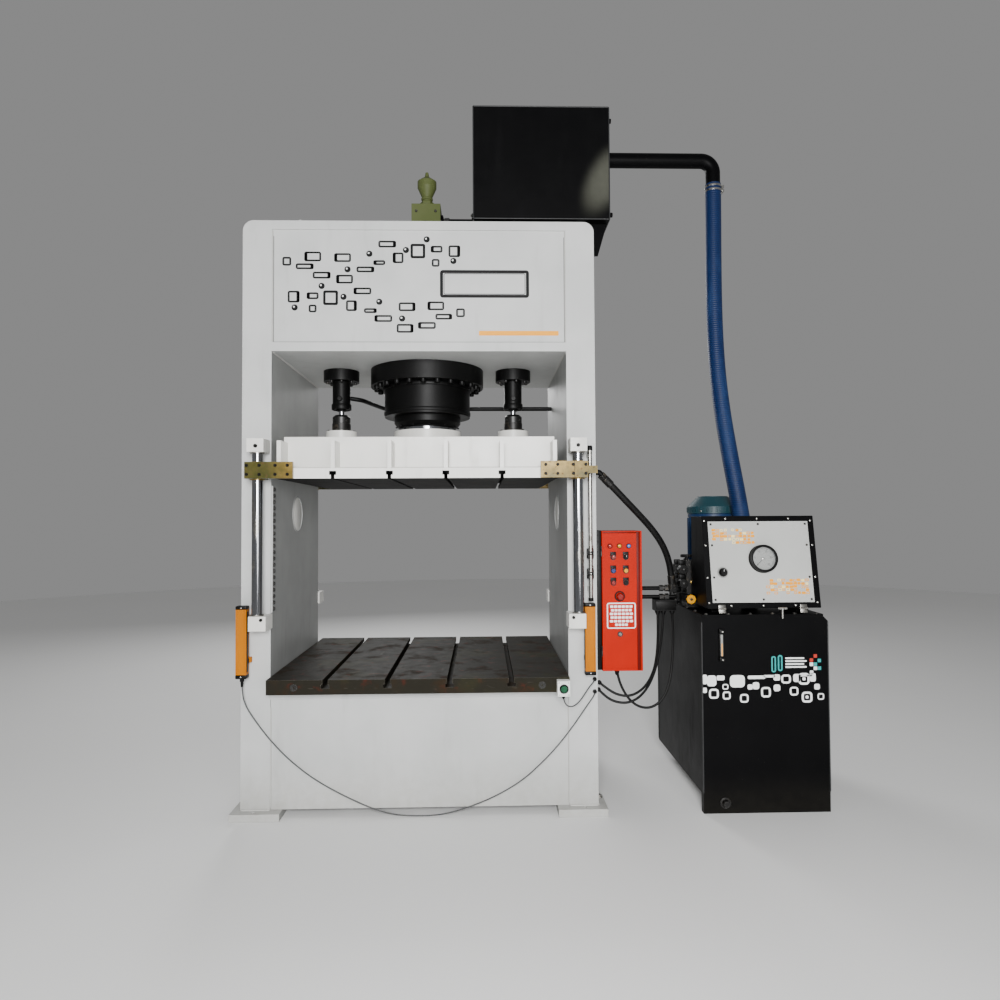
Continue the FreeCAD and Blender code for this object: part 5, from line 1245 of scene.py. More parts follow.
def make_valve_details():
    """Neck rings, hexagons, base screws and the pilot line to the tank."""
    rings = Shape()
    for z, radius, high in ((3.592, 0.046, 0.014), (3.64, 0.037, 0.018), (3.762, 0.046, 0.01)):
        rings.turned([(0.02, z), (radius - 0.004, z), (radius, z + 0.004),
            (radius, z + high - 0.004), (radius - 0.004, z + high), (0.02, z + high)], (0, 0, 0),
            UP, 36)
    rings.lathe([(40, 3606), (44, 3608), (44, 3626), (38, 3630)], (0, 0, 0), UP, 6)
    rings.piece("prefill_valve_rings", VALVE_OLIVE)
    screws = Shape()
    for x, y in around(8, 0.106, 0.39):
        screws.cap_screw((x, y, 3.3), UP, 0.01)
    for x in (-0.06, 0.06):
        for z in (3.345, 3.535):
            for y, axis in ((-0.09, FRONT), (0.09, REAR)):
                screws.cap_screw((x, y, z), axis, 0.01)
        for y in (-0.06, 0.06):
            screws.cap_screw((x, y, 3.583), UP, 0.009)
    screws.piece("prefill_valve_screws", DARK_STEEL)
    port = Shape()
    port.lathe([(34, 0), (34, 8), (30, 10)], (0, -0.09, 3.44), FRONT, 32)
    port.lathe([(24, 8), (24, 24), (20, 28), (0, 28)], (0, -0.09, 3.44), FRONT, 6)
    port.lathe([(34, 0), (34, 8), (30, 10)], (-0.09, 0, 3.44), LEFT, 32)
    port.lathe([(24, 8), (24, 22), (0, 22)], (-0.09, 0, 3.44), LEFT, 6)
    port.piece("prefill_valve_ports", VALVE_OLIVE)
    line = Shape()
    line.lathe([(46, 0), (46, 12), (32, 16)], (0.09, 0, 3.5), RIGHT, 32)
    line.pipe([(0.1, 0, 3.5), (0.3, 0, 3.5)], 0.023, 20)
    line.ring(0.058, 0.024, 0.014, (0.285, 0, 3.5), RIGHT, 36)
    line.piece("prefill_tank_line", TANK_BLACK)
    line_nuts = Shape()
    line_nuts.lathe([(26, 10), (33, 12), (33, 40), (27, 44)], (0.1, 0, 3.5), RIGHT, 6)
    for dy, dz in around(4, 0.047, 0.78):
        line_nuts.hex_bolt((0.285, dy, 3.5 + dz), LEFT, 0.008)
    line_nuts.piece("prefill_line_nuts", DARK_STEEL)


make_tank_details()
make_valve_details()


# ---- control cabinet ----

door_low, door_high = box_of("cabinet_door")
door_y = door_low.y + 0.006


def middle_of(node):
    low, high = box_of(node)
    return (low + high) / 2


def make_cabinet_details():
    """Hinges, folded rims, lock plate, lamps, bezels, blank label and fixing straps, and dark red
    strips of painted shade beside the right and top folds.
    """
    rims = Shape()
    rims.block((door_high.x - 0.01, door_y - 0.0012, door_low.z + 0.004),
        (door_high.x - 0.006, door_y + 0.001, door_high.z - 0.004), 0.0005)
    for z in (door_low.z + 0.012, door_high.z - 0.014):
        rims.block((door_low.x + 0.01, door_y - 0.0012, z), (door_high.x - 0.01, door_y + 0.001,
            z + 0.0025), 0.0005)
    rims.piece("cabinet_door_folds", CABINET_RED, "door")
    # Painted shade: dark red strips on the door face beside the right and top folds, standing in
    # for the shade on the folded rims.
    line = Shape()
    line.block((door_high.x - 0.03, door_y - 0.0016, door_low.z + 0.004),
        (door_high.x - 0.011, door_y + 0.001, door_high.z - 0.004), 0.0005)
    line.block((door_low.x + 0.004, door_y - 0.0016, door_high.z - 0.012),
        (door_high.x - 0.03, door_y + 0.001, door_high.z - 0.006), 0.0005)
    line.piece("cabinet_door_painted_fold_shade", CABINET_FOLD_PAINTED_SHADE, "door")
    hinges = Shape()
    for z in (0.88, 1.43):
        hinges.lathe([(0, -28), (4.5, -27), (4.5, -1), (4, 0), (4.5, 1), (4.5, 27), (0, 28)],
            (1.0005, -0.5475, z), UP, 20)
    hinges.piece("cabinet_hinges", DARK_STEEL)
    strip = Shape()
    strip.block((0.9755, -0.535, 0.775), (1.0025, -0.365, 1.545), 0.002)
    strip.piece("cabinet_mounting_straps", BLACK_PLASTIC)
    base = Shape()
    base.block((1.005, -0.5475, 0.7715), (1.224, -0.345, 0.78), 0.002)
    base.piece("cabinet_bottom_gasket", BLACK_PLASTIC)
    screws = Shape()
    for y in (-0.5, -0.39):
        for z in (0.8, 1.155, 1.515):
            screws.pan_screw((1.226, y, z), RIGHT, 0.005)
    screws.piece("cabinet_side_screws", CABINET_RED)
    bezels = Shape()
    chrome = Shape()
    for node in ("top_left_selector", "top_right_selector", "middle_left_button",
            "middle_right_button", "bottom_left_button", "bottom_right_button"):
        spot = middle_of(node)
        chrome.ring(0.0162, 0.015, 0.005, (spot.x, door_y, spot.z), FRONT, 36)
        bezels.ring(0.0148, 0.0116, 0.0016, (spot.x, door_low.y, spot.z), FRONT, 36)
        bezels.block((spot.x - 0.0165, door_y - 0.0014, spot.z + 0.006),
            (spot.x + 0.0165, door_y, spot.z + 0.029), 0.0004)
    stop = middle_of("emergency_stop")
    bezels.ring(0.029, 0.0212, 0.003, (stop.x, door_y, stop.z), FRONT, 44)
    for spot_x in (1.048, 1.1, 1.152):
        bezels.ring(0.0138, 0.0105, 0.006, (spot_x, door_y, 1.459), FRONT, 36)
    bezels.piece("cabinet_button_bezels", BLACK_PLASTIC, "door")
    chrome.piece("cabinet_button_collars", DARK_STEEL, "door")
    for name, x, lens in (("red", 1.048, RED_LAMP), ("yellow", 1.1, YELLOW_LAMP),
                          ("pale", 1.152, PALE_LAMP)):
        lamp = Shape()
        lamp.lathe([(10.6, 0), (10.6, 8.5), (9.8, 11), (7.5, 13), (4, 14), (0, 14.2)],
            (x, door_y, 1.459), FRONT, 36)
        lamp.piece("cabinet_" + name + "_lamp", lens, "door")
    for node in ("top_left_selector", "top_right_selector"):
        low, high = box_of(node)
        spot = (low + high) / 2
        tip = Matrix.Translation((spot.x, low.y, spot.z))
        body = "selector_left" if "left" in node else "selector_right"
        mark = Shape()
        mark.block((-0.0009, -0.0006, 0.0015), (0.0009, 0.0004, 0.0092), 0.0003, place=tip)
        mark.piece("cabinet_" + node + "_mark", INK_WHITE, body)
    key = middle_of("door_key")
    lock = Shape()
    lock.ring(0.015, 0.0086, 0.0035, (key.x, door_y, key.z), FRONT, 36)
    lock.piece("cabinet_lock_plate", DARK_STEEL, "door")
    label = Shape()
    x, z = 1.108, 1.075
    label.print(x, z, 0.16, 0.142, 0.012, door_y, 0.006)
    rows = ((0.05, 0.128), (0.03, 0.118), (0.01, 0.132), (-0.01, 0.124), (-0.03, 0.132),
        (-0.05, 0.074))
    for dz, wide in rows:
        cells = max(round(wide / 0.021), 3)
        for k in range(cells):
            gap = wide / cells
            label.print(x - wide / 2 + gap * (k + 0.5), z + dz, gap * 0.8, 0.0125, 0.002, door_y)
    label.piece("cabinet_blank_notice", INK_WHITE, "door")


make_cabinet_details()


# ---- reservoir ----

pack_low, pack_high = box_of("reservoir")
pack_front = pack_low.y if pack_low.y > -0.5801 else -0.58


def make_reservoir_prints():
    """A band of small white tiles, rings and dots across the reservoir's front."""
    solid = Shape()
    hollow = Shape()
    grid = 0.00128
    left, top = pack_low.x, 0.7475
    tiles = [(10, 16, 20, 40), (40, 22, 40, 46), (79, 10, 34, 20), (151, 25, 64, 52),
        (234, 9, 75, 14), (206, 50, 22, 22), (231, 45, 28, 30), (290, 5, 50, 10), (322, 11, 28, 26),
        (409, 14, 32, 34), (478, 12, 26, 36), (496, 52, 24, 24), (10, 62, 18, 22),
        (322, 55, 28, 28), (446, 4, 60, 7)]
    for across, down, wide, high in tiles:
        solid.print(left + across * grid, top - down * grid, wide * grid, high * grid,
            min(wide, high) * grid * 0.3, pack_front)
    rings = [(99, 48, 26, 24), (362, 18, 42, 38), (440, 18, 48, 50), (49, 77, 42, 42),
        (104, 85, 34, 34), (180, 98, 37, 37), (274, 73, 42, 44), (396, 70, 37, 37),
        (452, 96, 46, 46), (512, 94, 28, 28)]
    for across, down, wide, high in rings:
        at = (left + across * grid, top - down * grid)
        hollow.print(*at, wide * grid, high * grid, wide * grid * 0.32, pack_front,
            wide * grid * 0.19)
        if wide > 44:
            solid.print(*at, wide * grid * 0.28, wide * grid * 0.28, wide * grid * 0.1, pack_front)
    solid.piece("reservoir_printed_tiles", INK_WHITE)
    hollow.piece("reservoir_printed_rings", INK_WHITE)
    for name, ink, places in (("teal", INK_TEAL, ((2.194, 0.824), (2.172, 0.804), (2.194, 0.782))),
            ("white", INK_WHITE, ((2.172, 0.782), (2.15, 0.76), (2.15, 0.804))),
            ("red", INK_RED, ((2.172, 0.849), (2.15, 0.827)))):
        squares = Shape()
        for px, pz in places:
            squares.print(px, pz, 0.019, 0.019, 0.002, pack_front)
        if name == "teal":
            for px, pz in ((1.94, 0.806), (1.976, 0.812)):
                squares.print(px, pz, 0.026, 0.088, 0.011, pack_front, 0.008)
        if name == "white":
            for pz, wide in ((0.838, 0.105), (0.822, 0.118), (0.806, 0.104), (0.79, 0.118)):
                squares.print(2.005 + wide / 2, pz, wide, 0.0085, 0.003, pack_front)
        squares.piece("reservoir_" + name + "_squares", ink)


def make_reservoir_details():
    """Level gauge, drain, side covers, seams, lid screws and breather."""
    gauge_x = 1.65
    ends = Shape()
    for low, high in ((0.826, 0.85), (0.978, 1.002)):
        ends.block((gauge_x - 0.015, pack_front - 0.022, low), (gauge_x + 0.015, pack_front, high),
            0.004)
    ends.block((gauge_x - 0.0125, pack_front - 0.012, 0.848), (gauge_x + 0.0125, pack_front, 0.98),
        0.003)
    ends.piece("level_gauge_body", BLACK_PLASTIC)
    sight = Shape()
    sight.block((gauge_x - 0.0065, pack_front - 0.015, 0.855), (gauge_x + 0.0065,
        pack_front - 0.011, 0.973), 0.0018)
    sight.piece("level_gauge_sight", DIAL_WHITE)
    oil = Shape()
    oil.block((gauge_x - 0.003, pack_front - 0.0162, 0.857), (gauge_x + 0.003, pack_front - 0.0145,
        0.925), 0.0008)
    oil.piece("level_gauge_oil", INK_AMBER)
    screws = Shape()
    for z in (0.838, 0.99):
        screws.cap_screw((gauge_x, pack_front - 0.022, z), FRONT, 0.007)
    screws.piece("level_gauge_screws", BRIGHT_STEEL)
    drain = Shape()
    drain.lathe([(30, 0), (30, 6), (26, 9), (20, 9)], (1.662, pack_front, 0.058), FRONT, 36)
    drain.lathe([(18, 8), (18, 22), (15, 25), (0, 25)], (1.662, pack_front, 0.058), FRONT, 6)
    drain.piece("reservoir_drain_plug", DARK_STEEL)
    beads = Shape()
    seed = 140
    for x in (pack_low.x, pack_high.x):
        for y in (pack_front, pack_high.y):
            beads.bead((x, y, 0.11), (x, y, 1.04), 0.007, seed)
            seed += 1
    beads.piece("reservoir_seam_beads", TANK_WELD, smooth=60)
    lid_low, lid_high = box_of("reservoir_lid")
    bolts = Shape()
    for k in range(6):
        x = lid_low.x + 0.03 + k * (lid_high.x - lid_low.x - 0.06) / 5
        for y in (lid_low.y + 0.016, lid_high.y - 0.016):
            bolts.hex_bolt((x, y, lid_high.z), UP, 0.009)
    for k in range(1, 6):
        y = lid_low.y + k * (lid_high.y - lid_low.y) / 6
        for x in (lid_low.x + 0.014, lid_high.x - 0.014):
            bolts.hex_bolt((x, y, lid_high.z), UP, 0.009)
    bolts.piece("reservoir_lid_bolts", DARK_STEEL)
    cover = Shape()
    x, y, z = 1.894, pack_high.y, 0.52
    cover.ring(0.18, 0.02, 0.01, (x, y, z), REAR, 64)
    cover.lathe([(22, 4), (22, 16), (0, 18)], (x, y, z), REAR, 32)
    cover.piece("reservoir_rear_cover", TANK_BLACK)
    cover_bolts = Shape()
    for dx, dz in around(12, 0.158):
        cover_bolts.hex_bolt((x + dx, y + 0.01, z + dz), REAR, 0.01)
    cover_bolts.piece("reservoir_cover_bolts", DARK_STEEL)
    breather = Shape()
    breather.lathe([(40, 0), (40, 6), (30, 8), (30, 28), (44, 32), (46, 40), (46, 78), (40, 88),
        (0, 92)], (2.13, 0.24, lid_high.z), UP, 44)
    breather.piece("reservoir_breather", BRIGHT_STEEL)
    filter_head = Shape()
    filter_head.lathe([(60, 0), (60, 12), (48, 16), (48, 120), (56, 124), (56, 150), (46, 160),
        (0, 162)], (1.64, 0.24, lid_high.z), UP, 44)
    filter_head.piece("return_filter_head", CYLINDER_BLACK)
    filter_bolts = Shape()
    for dx, dy in around(4, 0.052, 0.78):
        filter_bolts.cap_screw((1.64 + dx, 0.24 + dy, lid_high.z + 0.15), UP, 0.006)
    filter_bolts.piece("return_filter_screws", BRIGHT_STEEL)


make_reservoir_prints()
make_reservoir_details()


# ---- motor ----

motor_x, motor_y = 1.83, 0.06
cowl_high = box_of("fan_cowl")[1]


def make_motor_details():
    """Cooling fins, terminal box, cowl grille and flange bolts."""
    fins = Shape()
    count = 44
    for k in range(count):
        a = 2 * math.pi * k / count
        place = Matrix.Translation((motor_x, motor_y, 0)) @ Matrix.Rotation(a, 4, "Z")
        fins.block((0.146, -0.0021, 1.222), (0.1585, 0.0021, 1.612), 0.0012, 1, place)
    fins.piece("motor_fins", MOTOR_BLUE)
    ends = Shape()
    for low, high in ((1.182, 1.214), (1.616, 1.638)):
        ends.turned([(0.148, low), (0.156, low + 0.003), (0.156, high - 0.003), (0.148, high)],
            (motor_x, motor_y, 0), UP, 64)
    ends.piece("motor_end_rings", MOTOR_BLUE)
    terminal = Shape()
    back = motor_y + 0.15
    terminal.block((motor_x - 0.07, back - 0.01, 1.385), (motor_x + 0.07, back + 0.062, 1.515),
        0.008)
    terminal.block((motor_x - 0.074, back + 0.06, 1.381), (motor_x + 0.074, back + 0.074, 1.519),
        0.004)
    terminal.piece("motor_terminal_box", MOTOR_BLUE)
    small = Shape()
    for x in (motor_x - 0.06, motor_x + 0.06):
        for z in (1.395, 1.505):
            small.pan_screw((x, back + 0.074, z), REAR, 0.006)
    for dx, dy in around(8, 0.112, 0.39):
        small.hex_bolt((motor_x + dx, motor_y + dy, 1.091), UP, 0.01)
    for dx, dz_angle in around(4, 0.1605, 0.78):
        small.pan_screw((motor_x + dx, motor_y + dz_angle, 1.655), (dx, dz_angle, 0), 0.005)
    small.piece("motor_screws", BRIGHT_STEEL)
    grille = Shape()
    for k in range(6):
        radius = 0.02 + 0.014 * k
        grille.ring(radius + 0.0035, radius - 0.0035, 0.004, (motor_x, motor_y, cowl_high.z), UP,
            48)
    for k in range(8):
        place = Matrix.Translation((motor_x, motor_y, cowl_high.z)) @ Matrix.Rotation(math.pi / 4
            * k, 4, "Z")
        grille.block((0.012, -0.003, 0.0), (0.094, 0.003, 0.0036), 0.001, 1, place)
    grille.lathe([(16, 0), (16, 5), (0, 6)], (motor_x, motor_y, cowl_high.z), UP, 24)
    grille.piece("cowl_grille", COWL_TEAL)
    slots = Shape()
    for k in range(36):
        a = 2 * math.pi * k / 36
        place = Matrix.Translation((motor_x, motor_y, 0)) @ Matrix.Rotation(a, 4, "Z")
        slots.block((0.159, -0.0042, 1.65), (0.1615, 0.0042, 1.676), 0.0008, 1, place)
    slots.piece("cowl_side_ribs", COWL_TEAL)
    plate = Shape()
    place = Matrix.Translation((motor_x, motor_y, 1.48)) @ Matrix.Rotation(-2.1, 4, "Z")
    plate.block((0.1585, -0.045, -0.03), (0.161, 0.045, 0.03), 0.001, 1, place)
    plate.piece("motor_blank_plate", STEEL)


make_motor_details()


# ---- console: panel, dial, knob ----

CONSOLE_TILT = math.radians(9.26)
CONSOLE = Matrix.Translation((0, -0.557, 1.111)) @ Matrix.Rotation(-CONSOLE_TILT, 4, "X")
PANEL_LEFT, PANEL_RIGHT = 1.6165, 2.1865
PANEL_LOW, PANEL_HIGH = 0.0305, 0.4855
PANEL_FACE = -0.004
GAUGE_X, GAUGE_UP = 1.912, 0.272


def make_console_details():
    """Panel screws, printed amber tiles, knob ring and case folds."""
    screws = Shape()
    inset = 0.016
    middle = (PANEL_LEFT + PANEL_RIGHT) / 2
    spots = []
    for up in (PANEL_LOW + inset, PANEL_HIGH - inset):
        spots += [(PANEL_LEFT + inset, up), (middle, up), (PANEL_RIGHT - inset, up)]
    for up in (0.17, 0.35):
        spots += [(PANEL_LEFT + inset, up), (PANEL_RIGHT - inset, up)]
    for x, up in spots:
        screws.pan_screw((x, PANEL_FACE, up), FRONT, 0.0065, CONSOLE)
    screws.piece("console_panel_screws", DARK_STEEL)
    case_screws = Shape()
    for x in (1.598, 2.205):
        for up in (0.03, 0.17, 0.35, 0.49):
            case_screws.pan_screw((x, 0, up), FRONT, 0.006, CONSOLE)
    for x in (1.72, 1.9, 2.08):
        for up in (0.014, 0.502):
            case_screws.pan_screw((x, 0, up), FRONT, 0.006, CONSOLE)
    case_screws.piece("console_case_screws", BRIGHT_STEEL)
    folds = Shape()
    for x0, x1, z0, z1 in ((1.584, 2.219, -0.001, 0.0035), (1.584, 2.219, 0.5125, 0.517),
            (1.5825, 1.587, 0.0, 0.516), (2.216, 2.2205, 0.0, 0.516)):
        folds.block((x0, -0.0035, z0), (x1, 0.004, z1), 0.0012, 2, CONSOLE)
    folds.piece("console_case_folds", TANK_BLACK)
    amber = Shape()
    pale = Shape()
    chance = random.Random(5)
    for x0, up0, lean in ((PANEL_LEFT + 0.03, 0.436, -1), (PANEL_LEFT + 0.315, 0.152, 1)):
        for row in range(5):
            for k in range(11):
                off = abs(row - 2 + (k - 5) * 0.22 * lean)
                if chance.random() < 0.04 + 0.17 * off:
                    continue
                wide = chance.choice((0.016, 0.019, 0.021))
                x = x0 + k * 0.022 + chance.uniform(-0.002, 0.002)
                up = up0 - row * 0.0175 + chance.uniform(-0.0015, 0.0015)
                hollow = 0.0034 if chance.random() < 0.4 else 0.0
                shape = amber if chance.random() < 0.7 else pale
                shape.print(x, up, wide, 0.014, 0.003, PANEL_FACE, hollow, place=CONSOLE)
    pale.piece("console_pale_tiles", INK_CREAM)
    amber.piece("console_amber_tiles", INK_AMBER)
    ring = Shape()
    ring.ring(0.031, 0.0245, 0.0022, (1.683, PANEL_FACE, 0.198), FRONT, 44, CONSOLE)
    ring.piece("console_knob_ring", DIAL_WHITE)
    mark = Shape()
    mark.block((1.6822, -0.0295, 0.201), (1.6838, -0.028, 0.2125), 0.0003, 2, CONSOLE)
    mark.piece("console_knob_mark", INK_WHITE, "knob")
    grips = Shape()
    for k in range(16):
        a = 2 * math.pi * k / 16
        spot = (1.683 + 0.0228 * math.cos(a), -0.0105, 0.198 + 0.0228 * math.sin(a))
        grips.lathe([(1.6, -5.5), (1.6, 5.5), (0, 6)], spot, FRONT, 8, CONSOLE)
    grips.piece("console_knob_grips", BLACK_PLASTIC, "knob")
    hasps = Shape()
    for x in (1.665, 2.12):
        hasps.block((x - 0.02, -0.01, -0.028), (x + 0.02, -0.002, 0.02), 0.003, 2, CONSOLE)
        hasps.lathe([(5, -20), (6, -19), (6, 19), (5, 20)], (x, -0.012, -0.002), RIGHT, 16, CONSOLE)
    hasps.piece("console_hasps", STEEL)


def make_dial():
    """White dial with ticks and plain numbers, glass, black bezel and needle hub."""
    face = Shape()
    face.lathe([(66.8, 0), (66.8, 0.3), (0, 0.3)], (GAUGE_X, -0.012, GAUGE_UP), FRONT, 72, CONSOLE)
    face.piece("gauge_dial", DIAL_WHITE)
    ticks = Shape()
    for k in range(51):
        a = math.radians(135 - 270 * k / 50)
        long = 0.0085 if k % 5 == 0 else 0.0045
        wide = 0.0011 if k % 5 == 0 else 0.0006
        place = CONSOLE @ Matrix.Translation((GAUGE_X, -0.0124, GAUGE_UP)) @ Matrix.Rotation(-a, 4,
            "Y")
        ticks.block((-wide, -0.0003, 0.0615 - long), (wide, 0.0, 0.0615), 0.0, 1, place)
    place = CONSOLE @ Matrix.Translation((GAUGE_X, -0.0124, GAUGE_UP))
    for k in range(54):
        first, second = (math.radians(135 - 270 * (k + d) / 54) for d in (0, 1))
        points = [(-r * math.sin(a), r * math.cos(a)) for a, r in ((first, 0.062), (second, 0.062),
            (second, 0.0626), (first, 0.0626))]
        ticks.faces.new([ticks.verts.new(place @ Vector((px, -0.0003, pz))) for px, pz in points])
    ticks.piece("gauge_ticks", INK_BLACK)
    for k in range(6):
        a = math.radians(135 - 54 * k)
        words = bpy.data.curves.new("number", "FONT")
        words.body = str(k * 5)
        words.size = 0.0155
        words.extrude = 0.0002
        words.align_x = "CENTER"
        words.align_y = "CENTER"
        letter = bpy.data.objects.new("number", words)
        bpy.context.collection.objects.link(letter)
        bpy.context.view_layer.update()
        mesh = bpy.data.meshes.new_from_object(letter)
        bpy.data.objects.remove(letter)
        spot = (GAUGE_X - 0.045 * math.sin(a), -0.0125, GAUGE_UP + 0.045 * math.cos(a))
        mesh.transform(CONSOLE @ Matrix.Translation(spot) @ Matrix.Rotation(math.pi / 2, 4, "X"))
        mesh.materials.clear()
        mesh.materials.append(INK_BLACK)
        number = bpy.data.objects.new(f"gauge_number_{k * 5}", mesh)
        bpy.context.collection.objects.link(number)
        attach(number, "frame")
    glass = Shape()
    glass.lathe([(67, 0), (67, 1.5), (45, 2.6), (20, 3.3), (0, 3.5)], (GAUGE_X, -0.029, GAUGE_UP),
        FRONT, 64, CONSOLE)
    glass.piece("gauge_glass_cover", GLASS, smooth=60)
    bezel = Shape()
    bezel.lathe([(75.2, 0), (79, 1), (79, 4), (76.2, 6), (76.2, 26), (77.5, 29), (76.5, 32.5),
        (72, 34.5), (65, 33.5), (63.2, 30), (65, 28.5)], (GAUGE_X, PANEL_FACE, GAUGE_UP), FRONT, 72,
        CONSOLE)
    bezel.piece("gauge_bezel", CYLINDER_BLACK, smooth=50)
    hub = Shape()
    hub.lathe([(7.2, 0), (7.2, 2.2), (5.5, 3.2), (0, 3.4)], (GAUGE_X, -0.0184, GAUGE_UP), FRONT, 28,
        CONSOLE)
    hub.piece("gauge_needle_hub", BRIGHT_STEEL, "needle")


make_console_details()
make_dial()


# ---- manifold, valves, pipes and glands ----

def make_manifold_details():
    """Screws and plugs on the block, valve caps and coils' plugs, and the lobes and grips round the
    two wheels.
    """
    screws = Shape()
    plugs = Shape()
    coils = Shape()
    low, high = box_of("manifold")
    for z in (1.105, 1.33):
        for x in (low.x + 0.014, high.x - 0.014):
            screws.cap_screw((x, low.y, z), FRONT, 0.009)
    for x in (low.x + 0.016, high.x - 0.016):
        for y in (low.y + 0.016, high.y - 0.016):
            screws.cap_screw((x, y, high.z), UP, 0.009)
    for x, z in ((1.64, 1.17), (1.6, 1.225), (1.645, 1.265)):
        plugs.lathe([(13, 0), (13, 4), (10.5, 5)], (x, low.y, z), FRONT, 24)
        plugs.lathe([(10, 4), (10, 12), (0, 13)], (x, low.y, z), FRONT, 6)
    for x, y, z in ((high.x, -0.19, 1.15), (high.x, -0.19, 1.29)):
        plugs.lathe([(16, 0), (16, 10), (0, 12)], (x, y, z), RIGHT, 6)
    for part in (0.22, 0.52, 0.82):
        z = 1.079 + (high.z - 1.079) * part
        for y, way in ((-0.225, FRONT), (-0.155, REAR)):
            if part == 0.22 and way == FRONT:
                continue
            coils.lathe([(26.6, 6), (29, 8), (29, 46), (26.6, 48)], (1.537, y, z), way, 6)
            outward = -1 if way == FRONT else 1
            coils.block((1.519, y + outward * 0.014 - 0.014, z + 0.024),
                (1.555, y + outward * 0.014 + 0.014, z + 0.052), 0.004)
            screws.lathe([(9, 61.5), (9, 70), (5, 72), (0, 72)], (1.537, y, z), way, 18)
        for y in (-0.215, -0.165):
            screws.cap_screw((1.509, y, z + 0.018), LEFT, 0.006)
            screws.cap_screw((1.509, y, z - 0.018), LEFT, 0.006)
    screws.piece("manifold_screws", DARK_STEEL)
    plugs.piece("manifold_plugs", BRASS)
    coils.piece("valve_coil_covers", BLACK_PLASTIC)
    wheel_low, wheel_high = box_of("adjusting_wheel")
    centre = (wheel_low + wheel_high) / 2
    lobes = Shape()
    for k in range(8):
        a = math.pi / 4 * k
        lobes.lathe([(5.5, -6.5), (6.5, -4.5), (6.5, 4.5), (5.5, 6.5)],
            (centre.x + 0.0228 * math.cos(a), wheel_low.y + 0.0068,
            centre.z + 0.0228 * math.sin(a)), FRONT, 14)
    lobes.piece("adjusting_wheel_lobes", YELLOW_BUTTON, "wheel")
    nut = Shape()
    nut.lathe([(8.5, 0), (8.5, 5), (0, 6)], (centre.x, wheel_low.y, centre.z), FRONT, 6)
    nut.piece("adjusting_wheel_nut", DARK_STEEL, "wheel")
    hand_low, hand_high = box_of("relief_handwheel")
    middle = (hand_low + hand_high) / 2
    rim = Shape()
    for k in range(20):
        a = 2 * math.pi * k / 20
        rim.lathe([(3, 0), (3.6, 2), (3.6, 13), (3, 15)], (middle.x + 0.0325 * math.cos(a),
            middle.y + 0.0325 * math.sin(a), hand_low.z + 0.0175), UP, 8)
    rim.piece("relief_handwheel_grips", BLACK_PLASTIC, "handwheel")


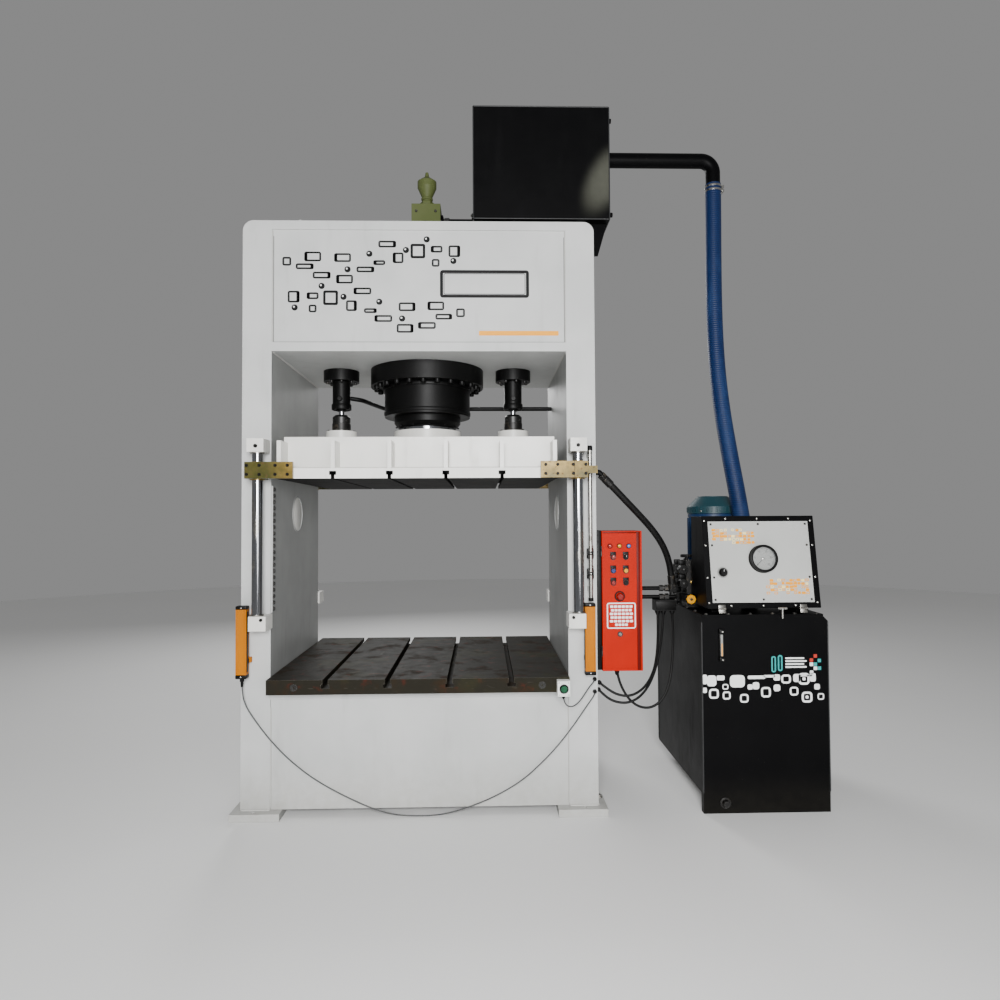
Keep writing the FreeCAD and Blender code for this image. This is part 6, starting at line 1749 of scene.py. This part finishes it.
def make_pipe_details():
    """Unions, saddle clamps, hose ends and the cable gland nuts."""
    unions = Shape()
    for z, radius in ((1.188, 0.0125), (1.136, 0.0125)):
        for x in (1.27, 1.44):
            unions.union((x, -0.19, z), RIGHT, radius)
        unions.lathe([(26, 0), (26, 4), (21, 6), (21, 20), (13, 22)], (0.975, -0.19, z), RIGHT, 24)
    unions.piece("service_pipe_unions", DARK_STEEL)
    saddles = Shape()
    saddles.block((1.12, -0.212, 1.112), (1.146, -0.168, 1.212), 0.004)
    saddles.piece("service_pipe_saddle", BLACK_PLASTIC)
    ends = Shape()
    for start, after in ((HOSE_POINTS[0], HOSE_POINTS[1]), (HOSE_POINTS[-1], HOSE_POINTS[-2])):
        start, after = Vector(start), Vector(after)
        axis = (after - start).normalized()
        ends.lathe([(19.5, 12), (23.2, 14), (23.6, 20), (22.6, 26), (23.6, 32), (22.6, 38),
            (23.6, 44), (22.6, 50), (23.6, 56), (23.2, 64), (19.6, 66)], start, axis, 40)
        ends.lathe([(18, -18), (25.5, -16), (25.5, 8), (20, 12)], start, axis, 6)
    ends.piece("pressure_hose_ends", DARK_STEEL)
    nuts = Shape()
    for node in (LOOP_A_POINTS, LOOP_B_POINTS):
        start, after = Vector(node[0]), Vector(node[1])
        axis = (after - start).normalized()
        nuts.lathe([(7.4, 12), (10.5, 10), (12.5, 2), (12.5, -6)], start, axis, 20)
        nuts.lathe([(13.5, -20), (15.5, -19), (15.5, -10), (12.5, -8)], start, RIGHT, 6)
        final = Vector(node[-1])
        nuts.lathe([(12.5, 0), (15.5, -1), (15.5, -12), (12, -14), (10.5, -22), (7.4, -26)], final,
            UP, 20)
    final = Vector(CABINET_POINTS[-1])
    nuts.lathe([(12.5, 0), (15.5, -1), (15.5, -12), (12, -14), (10.5, -22), (7.4, -26)], final, UP,
        20)
    nuts.lathe([(7.4, -24), (10.5, -18), (13, -4), (13, 2)], Vector(CABINET_POINTS[0]), UP, 20)
    for points in (CURTAIN_POINTS, BUTTON_POINTS):
        x, y, z = points[-1]
        nuts.lathe([(3.6, -12), (6, -8), (8.5, 0), (8.5, 6)], (x, y, z), REAR, 20)
        nuts.lathe([(10, 10), (12.5, 11), (12.5, 20), (10, 21)], (x, y, z), REAR, 6)
    nuts.piece("cable_gland_nuts", BLACK_PLASTIC)
    lid = Shape()
    low_x, high_x = 1.368, 1.494
    lid.block((low_x + 0.004, -0.2735, 1.066), (high_x - 0.004, -0.2695, 1.118), 0.0015)
    lid.piece("junction_box_lid", BLACK_PLASTIC)


make_manifold_details()
make_pipe_details()


# ---- room and light ----

def make_room():
    floor = bmesh.new()
    bmesh.ops.create_circle(floor, cap_ends=True, radius=14.0, segments=96)
    mesh = bpy.data.meshes.new("floor")
    floor.to_mesh(mesh)
    floor.free()
    pale = Finish("pale_floor")
    mesh.materials.append(pale.show(
        Base_Color=pale.mix(pale.cloud(1.5), "f2f2f1", "eeeeed"), Roughness=0.6))
    ground = bpy.data.objects.new("floor", mesh)
    ground.location = (0.7, 0, -0.0005)
    bpy.context.collection.objects.link(ground)
    world = bpy.data.worlds.new("pale_room")
    world.use_nodes = True
    sky = world.node_tree.nodes["Background"]
    sky.inputs["Color"].default_value = (1.0, 1.0, 1.0, 1.0)
    sky.inputs["Strength"].default_value = 0.26
    bpy.context.scene.world = world


def make_light(name, at, target, size, power):
    data = bpy.data.lights.new(name, "AREA")
    data.shape = "DISK"
    data.size = size
    data.energy = power
    lamp = bpy.data.objects.new(name, data)
    lamp.location = at
    lamp.rotation_euler = (Vector(target) - Vector(at)).to_track_quat("-Z", "Y").to_euler()
    bpy.context.collection.objects.link(lamp)


make_room()
make_light("key_light", (0.3, -6.0, 2.5), (0.6, 0, 1.7), 1.8, 440)
make_light("fill_light", (2.6, -6.4, 1.6), (1.2, 0, 1.4), 2.0, 90)
make_light("rear_light", (-1.0, 5.5, 4.4), (0.4, 0, 1.8), 2.6, 200)
